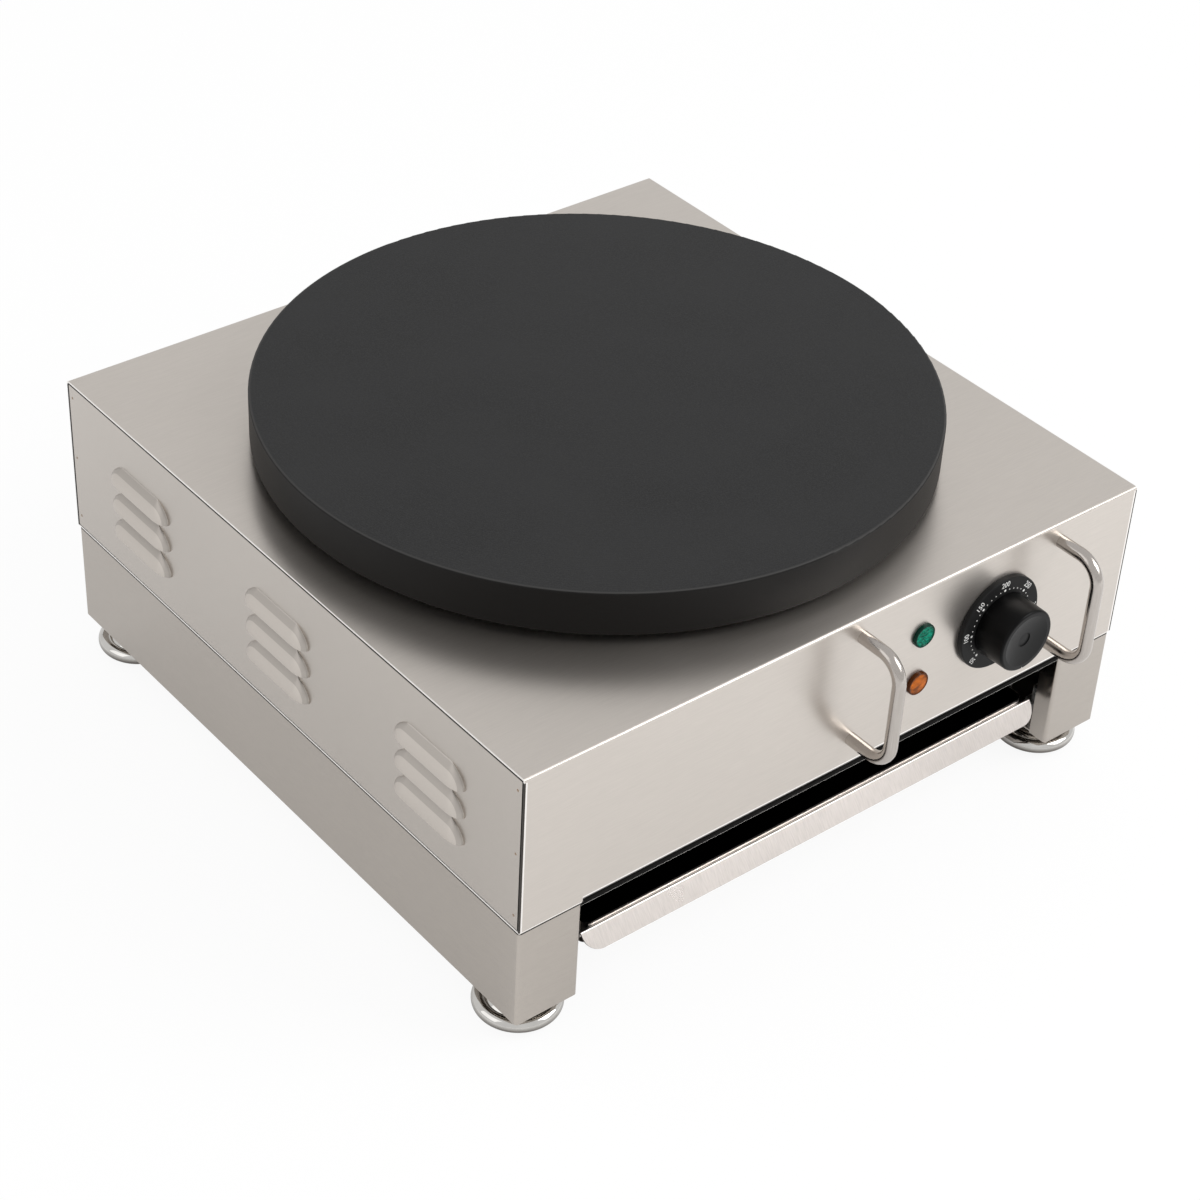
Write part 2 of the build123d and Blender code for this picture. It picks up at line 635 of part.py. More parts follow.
def element(ring):
    """Tubular heater: an open ring in the plate's groove with two legs going down."""
    half_gap = LEG_HALF_GAP + LEG_BEND
    rise = sqrt(ring ** 2 - half_gap ** 2)
    start = Vector(-half_gap, rise, ELEMENT_Z)
    end = Vector(half_gap, rise, ELEMENT_Z)
    start_way = Vector(-rise, -half_gap, 0).normalized()
    end_way = Vector(-rise, half_gap, 0).normalized()
    down = Vector(0, 0, -1)
    slant = sqrt(0.5)
    foot_z = TOP - LEG_DROP

    def leg(point, outward):
        hub = point + down * LEG_BEND
        low = hub + outward * LEG_BEND
        middle = hub + (outward - down) * (LEG_BEND * slant)
        return low, middle, Vector(low.X, low.Y, foot_z)

    low_a, middle_a, foot_a = leg(start, -start_way)
    low_b, middle_b, foot_b = leg(end, end_way)
    wire = Wire([
        Line(foot_a, low_a),
        ThreePointArc(low_a, middle_a, start),
        ThreePointArc(start, Vector(0, -ring, ELEMENT_Z), end),
        ThreePointArc(end, middle_b, low_b),
        Line(low_b, foot_b),
    ])
    heater = tube_along(wire, ELEMENT_R)
    for foot in (foot_a, foot_b):
        heater = heater + rod_z(foot.X, foot.Y, foot_z - PIN_L, foot_z + 1, PIN_R)
    return heater


def element_clamp():
    """Pressure plate that holds both heaters and the bulb up against the web."""
    low = CLAMP_TOP - CLAMP_SHEET
    clamp = rod_z(0, 0, low, CLAMP_TOP, CLAMP_R) - window(low - 1, CLAMP_TOP + 1)
    return clamp - rod_z(0, 0, low - 1, CLAMP_TOP + 1, STUD_R + SCREW_FIT)


def clamp_screw():
    """Central screw that pulls the pressure plate up."""
    low = CLAMP_TOP - CLAMP_SHEET
    shank = rod_z(0, 0, low - 1, CLAMP_TOP + STUD_GRIP, STUD_R)
    return shank + hex_z(0, 0, low - NUT_H, low, NUT_FLATS)


def insulation_mat():
    """Mineral wool disc between the pressure plate and the pan."""
    high = CLAMP_TOP - CLAMP_SHEET - MAT_AIR
    mat = rod_z(0, 0, PAN_TOP, high, MAT_R) - window(PAN_TOP - 1, high + 1)
    for x, y in STUDS:
        mat = mat - rod_z(x, y, PAN_TOP - 1, high + 1, BOSS_R + MAT_GAP)
    return mat - rod_z(0, 0, PAN_TOP - 1, high + 1, NUT_FLATS * 0.6 + MAT_GAP)


def closing_pan():
    """Shallow turned pan that closes the plate's underside."""
    outer = RIM_INNER - PAN_GAP
    rim = PAN_TOP + 4 * PAN_SHEET
    pan = turned([
        (0, PAN_Z), (outer, PAN_Z), (outer, rim), (outer - PAN_SHEET, rim),
        (outer - PAN_SHEET, PAN_TOP), (0, PAN_TOP),
    ], [(1, 2 * PAN_SHEET), (4, PAN_SHEET)])
    for x, y in STUDS:
        pan = pan - rod_z(x, y, PAN_Z - 1, PAN_TOP + 1, STUD_R + SCREW_FIT)
    return pan - window(PAN_Z - 1, PAN_TOP + 1)


def plate_spacers():
    """Sleeves that hold the plate clear of the top sheet."""
    sleeves = Part()
    for x, y in STUDS:
        sleeve = rod_z(x, y, TOP, PAN_Z, SPACER_R)
        sleeves = sleeves + (sleeve - rod_z(x, y, TOP - 1, PAN_Z + 1, STUD_R + SCREW_FIT))
    return sleeves


def plate_studs():
    """Studs from the plate's bosses down through the top sheet."""
    low = TOP - SHEET - WASHER_T - NUT_H - STUD_R
    return Part() + [rod_z(x, y, low, PAN_TOP + STUD_GRIP, STUD_R) for x, y in STUDS]


def plate_nuts():
    """Nut and washer under the top sheet at each stud."""
    under = TOP - SHEET
    nuts = Part()
    for x, y in STUDS:
        washer = rod_z(x, y, under - WASHER_T, under, WASHER_R)
        nut = hex_z(x, y, under - WASHER_T - NUT_H, under - WASHER_T, NUT_FLATS)
        bore = rod_z(x, y, under - WASHER_T - NUT_H - 1, under + 1, STUD_R + THREAD_FIT)
        nuts = nuts + (washer + nut - bore)
    return nuts


def sensor_bulb():
    """Bulb between the two heaters; its capillary leaves through the window to the thermostat."""
    height = WEB_Z - BULB_R - ELEMENT_BED
    bulb = Pos(BULB_RING_R, 0, height) * Rot(90, 0, 0) * Cylinder(BULB_R, BULB_L)
    slope = radians(15.0)
    start = Vector(BULB_RING_R * cos(slope), BULB_RING_R * sin(slope), height)
    finish_angle = radians(82.0)
    halfway = (slope + finish_angle) / 2
    middle = Vector(BULB_RING_R * cos(halfway), BULB_RING_R * sin(halfway), height)
    finish = Vector(BULB_RING_R * cos(finish_angle), BULB_RING_R * sin(finish_angle), height)
    way = Vector(-sin(finish_angle), cos(finish_angle), 0)
    down = Vector(0, 0, -1)
    hub = finish + down * CAPILLARY_BEND
    low = hub + way * CAPILLARY_BEND
    slant = hub + (way - down) * (CAPILLARY_BEND * sqrt(0.5))
    run_x = KNOB_X - THERMOSTAT_W / 3
    run_z = TOP - CAPILLARY_DROP
    route = FilletPolyline(
        low,
        Vector(low.X, low.Y, run_z),
        Vector(run_x, CAPILLARY_TURN, run_z),
        Vector(run_x, THERMOSTAT_BACK, run_z),
        radius=CAPILLARY_CURVE)
    wire = Wire([
        ThreePointArc(start, middle, finish),
        ThreePointArc(finish, slant, low),
        *route.edges(),
    ])
    return bulb + tube_along(wire, CAPILLARY_R)


def thermal_cutout():
    """Overheat cut-out, a capped disc against the underside of the pan, clear of the top sheet."""
    return rod_z(-CUTOUT_REACH, 0, TOP + SEAM, PAN_Z, CUTOUT_R)


# ---------------------------------------------------------------- front controls
def dial_bezel():
    """Fixed scale ring behind the knob."""
    section = [(BEZEL_BORE, 0), (BEZEL_R, 0), (BEZEL_R, BEZEL_T), (BEZEL_BORE, BEZEL_T)]
    ring = turned(section, [(2, BEZEL_EDGE)])
    ring = front_facing(ring)
    for z in THERMOSTAT_SCREW_ZS:
        ring = ring - rod_y(KNOB_X, z, -HALF_D - BEZEL_T - 1, -HALF_D + 1, SMALL_SCREW_R + SCREW_FIT)
    return ring


def front_facing(shape, x=KNOB_X, z=KNOB_Z):
    """Put a piece turned about Z onto the front sheet, its +Z pointing out to the front."""
    return Pos(x, -HALF_D, z) * Rot(90, 0, 0) * shape


def knob():
    """Turning cap with a dished face, a bare round seat and a pointer notch at its rim."""
    rear = BEZEL_T + KNOB_GAP
    section = [
        (0, rear + SMALL_HEAD_T), (KNOB_R - KNOB_WALL, rear + SMALL_HEAD_T), (KNOB_R - KNOB_WALL, rear),
        (KNOB_R, rear), (KNOB_TIP_R, KNOB_REACH), (0, KNOB_REACH),
    ]
    cap = turned(section, [(4, KNOB_EDGE)])
    ball = (DISH_R ** 2 + DISH_DEPTH ** 2) / (2 * DISH_DEPTH)
    cap = cap - Pos(0, 0, KNOB_REACH - DISH_DEPTH + ball) * Sphere(ball)
    seat = KNOB_REACH - DISH_DEPTH
    cap = cap - rod_z(0, 0, seat - BADGE_DEPTH, KNOB_REACH, BADGE_R)
    notch = block(-NOTCH_W / 2, NOTCH_W / 2, -KNOB_R - 1, NOTCH_DEPTH - KNOB_TIP_R,
                  KNOB_REACH - NOTCH_L, KNOB_REACH + 1)
    cap = cap - notch
    bore = spindle_section(SPINDLE_FIT)
    cap = cap - Pos(0, 0, rear) * extrude(bore, amount=SPINDLE_IN_KNOB)
    return front_facing(cap)


def spindle_section(grow):
    """Round with a flat, the section of the thermostat's spindle."""
    flat = SPINDLE_R * 0.6 + grow
    radius = SPINDLE_R + grow
    cut = Pos(0, flat + radius) * Rectangle(4 * radius, 2 * radius)
    return Circle(radius) - cut


def thermostat_spindle():
    """Spindle from the thermostat through the front sheet into the knob."""
    rear = BEZEL_T + KNOB_GAP
    flatted = Pos(0, 0, rear) * extrude(spindle_section(0), amount=SPINDLE_IN_KNOB - SEAM)
    round_part = rod_z(0, 0, -SHEET - SPINDLE_IN_BODY, rear, SPINDLE_R)
    return front_facing(flatted + round_part)


def thermostat_body():
    """Moulded switch housing behind the front sheet with its strap, bush and tags."""
    y0 = INNER_FRONT
    strap = block(KNOB_X - STRAP_W / 2, KNOB_X + STRAP_W / 2, y0, y0 + SHEET,
                  KNOB_Z - STRAP_H / 2, KNOB_Z + STRAP_H / 2)
    strap = fillet(strap.edges().filter_by(Axis.Y), STRAP_ROUND)
    case = block(KNOB_X - THERMOSTAT_W / 2, KNOB_X + THERMOSTAT_W / 2, y0 + SHEET,
                 THERMOSTAT_BACK, KNOB_Z - THERMOSTAT_H / 2, KNOB_Z + THERMOSTAT_H / 2)
    case = fillet(case.edges().filter_by(Axis.Y), CASE_ROUND)
    body = strap + case + rod_y(KNOB_X, KNOB_Z, -HALF_D, y0 + SHEET + 1, BUSH_R)
    low = KNOB_Z - TAG_PITCH - TAG_T / 2
    for column in (-1, 0, 1):
        left = KNOB_X + column * TAG_PITCH - TAG_W / 2
        body = body + block(left, left + TAG_W, THERMOSTAT_BACK - 1, THERMOSTAT_TAG_Y, low, low + TAG_T)
    body = body - rod_y(KNOB_X, KNOB_Z, -HALF_D - 1, y0 + SPINDLE_IN_BODY + SEAM, SPINDLE_R + SPINDLE_FIT)
    for z in THERMOSTAT_SCREW_ZS:
        body = body - rod_y(KNOB_X, z, y0 - 1, y0 + THERMOSTAT_SCREW_L + TIP_ROOM, SMALL_SCREW_R + THREAD_FIT)
    return body


def thermostat_screws():
    """Two screws through scale ring and front sheet into the thermostat."""
    screws = Part()
    for z in THERMOSTAT_SCREW_ZS:
        head = rod_y(KNOB_X, z, -HALF_D - BEZEL_T - SMALL_HEAD_T + SEAM, -HALF_D - BEZEL_T, SMALL_HEAD_R)
        shank = rod_y(KNOB_X, z, -HALF_D - BEZEL_T - SEAM, INNER_FRONT + THERMOSTAT_SCREW_L, SMALL_SCREW_R)
        screws = screws + (head + shank)
    return screws


def lamp_lens(z, crown):
    """Round lens with a stem through the front sheet; crown rounds its face."""
    section = [(0, -LENS_STEM_L), (LENS_STEM_R, -LENS_STEM_L), (LENS_STEM_R, 0),
               (LENS_R, 0), (LENS_R, LENS_REACH), (0, LENS_REACH)]
    return front_facing(turned(section, [(4, crown)]), LAMP_X, z)


def lamp_body(z):
    """Lamp housing with two tags, clipped on behind the lens."""
    body = rod_y(LAMP_X, z, LAMP_BACK - LAMP_BODY_L, LAMP_BACK, LAMP_BODY_R)
    for s in (-1, 1):
        left = LAMP_X + s * LAMP_TAG_PITCH / 2 - TAG_T / 2
        body = body + block(left, left + TAG_T, LAMP_BACK - 1, LAMP_TAG_Y,
                            z - LAMP_TAG_W / 2, z + LAMP_TAG_W / 2)
    return body


def lamp_clips():
    """Spring rings that hold the lenses against the front sheet."""
    clips = Part()
    for z in LAMP_ZS:
        ring = rod_y(LAMP_X, z, INNER_FRONT, INNER_FRONT + CLIP_T, CLIP_R)
        bore = rod_y(LAMP_X, z, INNER_FRONT - 1, INNER_FRONT + CLIP_T + 1, LENS_STEM_R + THREAD_FIT)
        clips = clips + (ring - bore)
    return clips


def handle(x):
    """Bow handle bent from round bar, tapped at both ends."""
    reach = HANDLE_REACH - HANDLE_ROD_R
    upper, lower = HANDLE_ZS
    path = FilletPolyline(
        (x, -HALF_D, upper), (x, -HALF_D - reach, upper),
        (x, -HALF_D - reach, lower), (x, -HALF_D, lower), radius=HANDLE_BEND)
    bow = tube_along(path, HANDLE_ROD_R)
    for z in HANDLE_ZS:
        bow = bow - rod_y(x, z, -HALF_D - HANDLE_SCREW_L, -HALF_D + 1, HANDLE_THREAD_R + THREAD_FIT)
    return bow


def handle_screws():
    """Screws from inside the casing into the handles."""
    screws = Part()
    for x in HANDLE_XS:
        for z in HANDLE_ZS:
            head = rod_y(x, z, INNER_FRONT, INNER_FRONT + HANDLE_HEAD_T, HANDLE_HEAD_R)
            shank = rod_y(x, z, -HALF_D - HANDLE_SCREW_L + 1, INNER_FRONT + 1, HANDLE_THREAD_R)
            screws = screws + (head + shank)
    return screws


# ---------------------------------------------------------------- rear and electrical
def cable_gland():
    """Gland body in the back sheet, open right through for the supply cable."""
    outer = hex_y(GLAND_X, GLAND_Z, HALF_D, HALF_D + GLAND_HEX, GLAND_FLATS)
    dome = turned([
        (0, 0), (GLAND_FLATS / 2 - 1, 0), (GLAND_TIP_R, GLAND_REACH - GLAND_HEX),
        (0, GLAND_REACH - GLAND_HEX),
    ], [(2, GLAND_EDGE)])
    dome = Pos(GLAND_X, HALF_D + GLAND_HEX, GLAND_Z) * Rot(-90, 0, 0) * dome
    neck = rod_y(GLAND_X, GLAND_Z, INNER_BACK - GLAND_INSIDE, HALF_D + 1, GLAND_NECK_R)
    bore = rod_y(GLAND_X, GLAND_Z, INNER_BACK - GLAND_INSIDE - 1, HALF_D + GLAND_REACH + 1, GLAND_BORE)
    return outer + dome + neck - bore


def gland_nut():
    """Nut on the gland's neck inside the casing."""
    nut = hex_y(GLAND_X, GLAND_Z, INNER_BACK - GLAND_NUT_T, INNER_BACK, GLAND_FLATS)
    return nut - rod_y(GLAND_X, GLAND_Z, 0, HALF_D, GLAND_NECK_R + THREAD_FIT)


def earth_terminal():
    """Earth stud with its nuts on both sides of the back sheet."""
    stud = rod_y(EARTH_X, GLAND_Z, INNER_BACK - EARTH_INSIDE, HALF_D + EARTH_REACH, EARTH_R)
    seat = HALF_D + EARTH_WASHER_T
    outer = hex_y(EARTH_X, GLAND_Z, seat, seat + EARTH_NUT_T, EARTH_FLATS)
    washer = rod_y(EARTH_X, GLAND_Z, HALF_D, seat, EARTH_WASHER_R)
    inner = hex_y(EARTH_X, GLAND_Z, INNER_BACK - EARTH_NUT_T, INNER_BACK, EARTH_FLATS)
    return stud + outer + washer + inner


def block_ways():
    """X places of the terminal block's ways."""
    pitch = BLOCK_W / (BLOCK_WAYS + 1)
    return [GLAND_X + pitch * (way - (BLOCK_WAYS - 1) / 2) for way in range(BLOCK_WAYS)]


def terminal_block():
    """Ceramic terminal block on the deck, with a well for each screw and wire."""
    body = block(GLAND_X - BLOCK_W / 2, GLAND_X + BLOCK_W / 2, BLOCK_Y - BLOCK_D / 2,
                 BLOCK_Y + BLOCK_D / 2, DECK_TOP, DECK_TOP + BLOCK_H)
    body = fillet(body.edges().filter_by(Axis.Z), BLOCK_ROUND)
    way_z = DECK_TOP + WAY_Z
    for x in block_ways():
        body = body - rod_y(x, way_z, BLOCK_Y - BLOCK_D, BLOCK_Y + BLOCK_D, WIRE_R + SEAM)
        for s in (-1, 1):
            body = body - rod_z(x, BLOCK_Y + s * WELL_SPACING / 2, way_z, DECK_TOP + BLOCK_H + 1, WELL_R)
    return body


def terminal_screws():
    """Brass clamping screws of the terminal block."""
    screws = Part()
    for x in block_ways():
        for s in (-1, 1):
            low = DECK_TOP + WAY_Z + WIRE_R + SEAM
            high = DECK_TOP + BLOCK_H - WELL_SINK
            screws = screws + rod_z(x, BLOCK_Y + s * WELL_SPACING / 2, low, high, WELL_SCREW_R)
    return screws


def wiring():
    """Insulated leads between terminal block, thermostat, heaters and lamps."""
    ways = block_ways()
    way_z = DECK_TOP + WAY_Z
    grip_y = BLOCK_Y - BLOCK_D / 2 + WIRE_GRIP
    tag_z = KNOB_Z - TAG_PITCH
    pin_z = TOP - LEG_DROP - PIN_L
    outer_leg_y, inner_leg_y = (ring_leg_y(ring) for ring in ELEMENT_RINGS)
    high_run = pin_z - 3 * WIRE_BEND
    low_run = high_run - WIRE_BEND
    turn_y = THERMOSTAT_TAG_Y + WIRE_SLACK
    lamp_turn_y = LAMP_TAG_Y + WIRE_SLACK
    left_tag, right_tag = LAMP_X - LAMP_TAG_PITCH / 2, LAMP_X + LAMP_TAG_PITCH / 2
    upper, lower = LAMP_ZS
    to_thermostat = [
        (ways[2], grip_y, way_z), (ways[2], 0, way_z), (KNOB_X + TAG_PITCH, 0, tag_z),
        (KNOB_X + TAG_PITCH, THERMOSTAT_TAG_Y, tag_z),
    ]
    to_outer_ring = [
        (ways[1], grip_y, way_z), (ways[1], INNER_RING_R, way_z), (ways[1], INNER_RING_R, high_run),
        (LEG_HALF_GAP, INNER_RING_R, high_run), (LEG_HALF_GAP, outer_leg_y, high_run),
        (LEG_HALF_GAP, outer_leg_y, pin_z),
    ]
    to_inner_ring = [
        (KNOB_X, THERMOSTAT_TAG_Y, tag_z), (KNOB_X, -INNER_RING_R, tag_z),
        (-LEG_HALF_GAP, -INNER_RING_R, low_run), (-LEG_HALF_GAP, inner_leg_y, low_run),
        (-LEG_HALF_GAP, inner_leg_y, pin_z),
    ]
    to_lower_lamp = [
        (right_tag, LAMP_TAG_Y, lower), (right_tag, turn_y, lower),
        (KNOB_X - TAG_PITCH, turn_y, tag_z), (KNOB_X - TAG_PITCH, THERMOSTAT_TAG_Y, tag_z),
    ]
    lamp_to_lamp = [
        (left_tag, LAMP_TAG_Y, upper), (left_tag, lamp_turn_y, upper),
        (left_tag, lamp_turn_y, lower), (left_tag, LAMP_TAG_Y, lower),
    ]
    leads = Part()
    for route in (to_thermostat, to_outer_ring, to_inner_ring, to_lower_lamp, lamp_to_lamp):
        leads = leads + tube_along(FilletPolyline(*route, radius=WIRE_BEND), WIRE_R)
    return leads


def ring_leg_y(ring):
    """Y place of the legs of a heater ring of that radius."""
    half_gap = LEG_HALF_GAP + LEG_BEND
    rise = sqrt(ring ** 2 - half_gap ** 2)
    return rise + LEG_BEND * half_gap / ring


def screw_y(x, z, face, outwards):
    """Pan head screw through a sheet, head on the face, shank the other way."""
    head = sorted((face, face + outwards * SMALL_HEAD_T))
    shank = sorted((face + outwards * SMALL_HEAD_T / 2, face - outwards * SCREW_L))
    screw = rod_y(x, z, *head, SMALL_HEAD_R) + rod_y(x, z, *shank, SMALL_SCREW_R)
    rim = screw.faces().sort_by(Axis.Y)[-1 if outwards > 0 else 0].edges()
    return fillet(rim, SCREW_EDGE)


def rear_screws():
    """Screws of the casing's and the base's back."""
    screws = Part()
    for s in (-1, 1):
        for z in REAR_ZS:
            screws = screws + screw_y(s * REAR_X, z, HALF_D, 1)
        for z in BACK_SCREW_ZS:
            screws = screws + screw_y(s * BACK_SCREW_X, z, BASE_Y, 1)
    return screws


def deck_screws():
    """Screws from below through the deck into the side panels' flanges."""
    screws = Part()
    for x, y in both_signs(DECK_SCREW_X, DECK_SCREW_Y):
        head = rod_z(x, y, DECK_Z - SMALL_HEAD_T, DECK_Z, SMALL_HEAD_R)
        shank = rod_z(x, y, DECK_Z - SMALL_HEAD_T / 2, DECK_TOP + DECK_SCREW_TOP, SMALL_SCREW_R)
        screws = screws + (head + shank)
    return screws


# ---------------------------------------------------------------- feet
def foot_cup():
    """Pressed cup with a rolled rim, a shoulder and a hexagonal neck, about the Z axis."""
    low = PAD_T
    centre = Vector(BEAD_RING_R, low + BEAD_R)
    groove = Vector(BEAD_RING_R - BEAD_R * 0.8, low + BEAD_R * 1.6)
    shoulder = Vector(CUP_SHOULDER_R, CUP_SHOULDER_Z)
    rise = Vector((groove.X + shoulder.X) / 2, (groove.Y + shoulder.Y) / 2 + 1.0)
    outline = (
        Line((0, low), (BEAD_RING_R, low))
        + ThreePointArc((BEAD_RING_R, low), centre + Vector(BEAD_R, 0), centre + Vector(0, BEAD_R))
        + ThreePointArc(centre + Vector(0, BEAD_R), centre + Vector(-BEAD_R, BEAD_R) * sqrt(0.5), groove)
        + ThreePointArc(groove, rise, shoulder)
        + Polyline(shoulder, (0, CUP_SHOULDER_Z), (0, low))
    )
    cup = revolve(Plane.XZ * make_face(outline), Axis.Z)
    cup = cup + hex_z(0, 0, CUP_SHOULDER_Z - 1, FOOT_H - NECK_GAP, FOOT_HEX)
    return cup - rod_z(0, 0, low + CUP_FLOOR, FOOT_H + 1, FOOT_STUD_R + THREAD_FIT)


def foot_pad():
    """Grey plastic pad under the cup."""
    return turned([(0, 0), (PAD_R, 0), (PAD_R, PAD_T), (0, PAD_T)], [(1, PAD_EDGE)])


def foot_stud():
    """Threaded stud of a foot."""
    stud = rod_z(0, 0, PAD_T + CUP_FLOOR, BASE_Z + FOOT_STUD_TOP, FOOT_STUD_R)
    return chamfer(stud.edges().sort_by(Axis.Z)[-1], STUD_POINT)


def foot_nuts():
    """Nuts welded onto the foot flanges."""
    nuts = Part()
    for x, y in FEET.values():
        nut = hex_z(x, y, FLANGE_TOP, FLANGE_TOP + NUT_H, NUT_FLATS)
        nuts = nuts + (nut - rod_z(x, y, BASE_Z, FLANGE_TOP + NUT_H + 1, FOOT_STUD_R + THREAD_FIT))
    return nuts


# ---------------------------------------------------------------- write every piece
write("cover_wrap", cover_wrap())
side_panel = cover_side()
write("cover_side_right", side_panel)
write("cover_side_left", left_of(side_panel))
write("corner_angles", corner_angles())
write("deck_plate", deck_plate())
skirt = base_side()
write("base_side_right", skirt)
write("base_side_left", left_of(skirt))
write("base_back", base_back())
guide = tray_guide()
write("tray_guide_right", guide)
write("tray_guide_left", left_of(guide))
write("drip_tray", drip_tray())
write("griddle_plate", griddle_plate())
write("outer_element", element(ELEMENT_RINGS[0]))
write("inner_element", element(ELEMENT_RINGS[1]))
write("element_clamp", element_clamp())
write("clamp_screw", clamp_screw())
write("insulation_mat", insulation_mat())
write("closing_pan", closing_pan())
write("plate_spacers", plate_spacers())
write("plate_studs", plate_studs())
write("plate_nuts", plate_nuts())
write("sensor_bulb", sensor_bulb())
write("thermal_cutout", thermal_cutout())
write("dial_bezel", dial_bezel())
write("knob", knob())
write("thermostat_spindle", thermostat_spindle())
write("thermostat_body", thermostat_body())
write("thermostat_screws", thermostat_screws())
for colour, lamp_z, crown in zip(("green", "amber"), LAMP_ZS, (0.8, 1.6)):
    write(f"{colour}_lens", lamp_lens(lamp_z, crown))
    write(f"{colour}_lamp_body", lamp_body(lamp_z))
write("lamp_clips", lamp_clips())
for side_name, handle_x in zip(("left", "right"), HANDLE_XS):
    write(f"handle_{side_name}", handle(handle_x))
write("handle_screws", handle_screws())
write("cable_gland", cable_gland())
write("gland_nut", gland_nut())
write("earth_terminal", earth_terminal())
write("terminal_block", terminal_block())
write("terminal_screws", terminal_screws())
write("wiring", wiring())
write("rear_screws", rear_screws())
write("deck_screws", deck_screws())
write("foot_nuts", foot_nuts())
for corner, (foot_x, foot_y) in FEET.items():
    write(f"foot_cup_{corner}", Pos(foot_x, foot_y, 0) * foot_cup())
    write(f"foot_pad_{corner}", Pos(foot_x, foot_y, 0) * foot_pad())
    write(f"foot_stud_{corner}", Pos(foot_x, foot_y, 0) * foot_stud())
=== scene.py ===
"""Electric crepe maker: sheet steel, cast griddle, printed dial, lamps and feet, with a plain studio."""
from math import cos, pi, radians, sin

import bmesh
import bpy
from bpy.props import FloatProperty, FloatVectorProperty, PointerProperty
from bpy.types import Operator, Panel, PropertyGroup
from mathutils import Matrix, Vector


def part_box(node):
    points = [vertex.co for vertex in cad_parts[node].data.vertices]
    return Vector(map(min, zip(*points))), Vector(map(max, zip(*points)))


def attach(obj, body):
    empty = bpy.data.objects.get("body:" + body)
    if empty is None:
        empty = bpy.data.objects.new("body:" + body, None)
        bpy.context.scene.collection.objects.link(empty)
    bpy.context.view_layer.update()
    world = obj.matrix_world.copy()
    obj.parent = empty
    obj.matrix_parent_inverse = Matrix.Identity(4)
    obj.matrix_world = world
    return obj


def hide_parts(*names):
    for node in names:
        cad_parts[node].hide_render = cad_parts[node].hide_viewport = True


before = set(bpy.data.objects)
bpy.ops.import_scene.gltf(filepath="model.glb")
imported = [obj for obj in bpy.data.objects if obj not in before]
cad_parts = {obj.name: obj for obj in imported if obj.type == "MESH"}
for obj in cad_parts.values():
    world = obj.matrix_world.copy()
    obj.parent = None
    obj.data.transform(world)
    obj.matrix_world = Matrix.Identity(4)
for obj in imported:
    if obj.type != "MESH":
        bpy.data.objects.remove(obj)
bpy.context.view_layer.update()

bl_info = {
    "name": "Crepe maker",
    "version": (1, 0, 0),
    "blender": (4, 5, 0),
    "location": "3D View > Sidebar > Crepe maker",
    "description": "Finishes and small details of an electric crepe maker, and its studio",
    "category": "Object",
}

MM = 0.001
FAR = 1.0                # where a box of colour has no wall, it ends this far out
NO_RIM = -9.0            # in mm: a side of a node that has no rim of its own
FADE = 0.1 * MM          # width over which one colour of a sheet turns into another
WINDOW_SHARE = 0.84      # part of a lens's radius that its pressed window takes
PRINT_THICKNESS = 0.02 * MM
HEAD_HEIGHT = 2.2 * MM   # heads of the rear screws
CORNERS = ("front_left", "front_right", "rear_left", "rear_right")
BEZEL_LOW, BEZEL_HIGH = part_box("dial_bezel")
KNOB_LOW, KNOB_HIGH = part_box("knob")
WRAP_LOW, WRAP_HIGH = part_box("cover_wrap")
PLATE_LOW, PLATE_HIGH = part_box("griddle_plate")
DIAL_CENTRE = (BEZEL_LOW + BEZEL_HIGH) / 2
PLATE_CENTRE = (PLATE_LOW + PLATE_HIGH) / 2
MOUTH_HALF = 0.1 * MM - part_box("base_side_left")[1].x   # from the middle to just past a post's inner face
FRONTWARDS = Matrix.Rotation(radians(90), 4, "X")
REARWARDS = Matrix.Rotation(radians(-90), 4, "X")


# ---------------------------------------------------------------- settings
def colour_setting(name, description, default):
    """A colour the user can change."""
    return FloatVectorProperty(name=name, description=description, default=default,
                               subtype="COLOR", size=3, min=0.0, max=1.0)


def length_setting(name, description, default):
    """A length the user can change."""
    return FloatProperty(name=name, description=description, default=default,
                         unit="LENGTH", min=0.0, precision=5)


def share_setting(name, description, default):
    """A share from 0 to 1 the user can change."""
    return FloatProperty(name=name, description=description, default=default,
                         subtype="FACTOR", min=0.0, max=1.0)


class SteelSettings(PropertyGroup):
    """Stainless sheet of casing, base and tray."""
    casing: colour_setting("Casing", "Brushed sheet of the casing's wrap", (0.635, 0.59, 0.545))
    side: colour_setting("Side panels", "Brushed sheet of the louvred panels", (0.55, 0.51, 0.47))
    base: colour_setting("Base", "Brushed sheet of the base", (0.49, 0.45, 0.41))
    tray: colour_setting("Tray", "Sheet of the drip tray", (0.49, 0.455, 0.43))
    # The inner colour is painted shade for the dark inside of the machine: deck, guides and corner angles.
    inner: colour_setting("Inner sheets", "Deck and guides, browned by heat", (0.06, 0.056, 0.052))
    # The soot colour is painted shade: it darkens the inside of the drip tray, the rim behind its lip and the
    # hem under the deck.
    soot: colour_setting("Soot", "Baked-on film inside the drip tray", (0.018, 0.016, 0.015))
    # The cut_edge colour is a painted highlight: pale bands on sheet edges, ledges and the hem's lower bend.
    cut_edge: colour_setting("Cut edge", "Deburred edges of the sheets", (0.92, 0.89, 0.86))
    # The seam_edge colour is a painted shadow: dark bands along sheet edges that meet in a seam.
    seam_edge: colour_setting("Seam edge", "Edges that lie in a dark seam", (0.05, 0.045, 0.04))
    roughness: share_setting("Roughness", "Roughness of the brushed sheet", 0.25)
    brushing: share_setting("Brushing", "How far the brush marks stretch a reflection", 0.5)
    weld_tint: colour_setting("Weld tint", "Heat tint of the spot welds", (0.30, 0.22, 0.16))


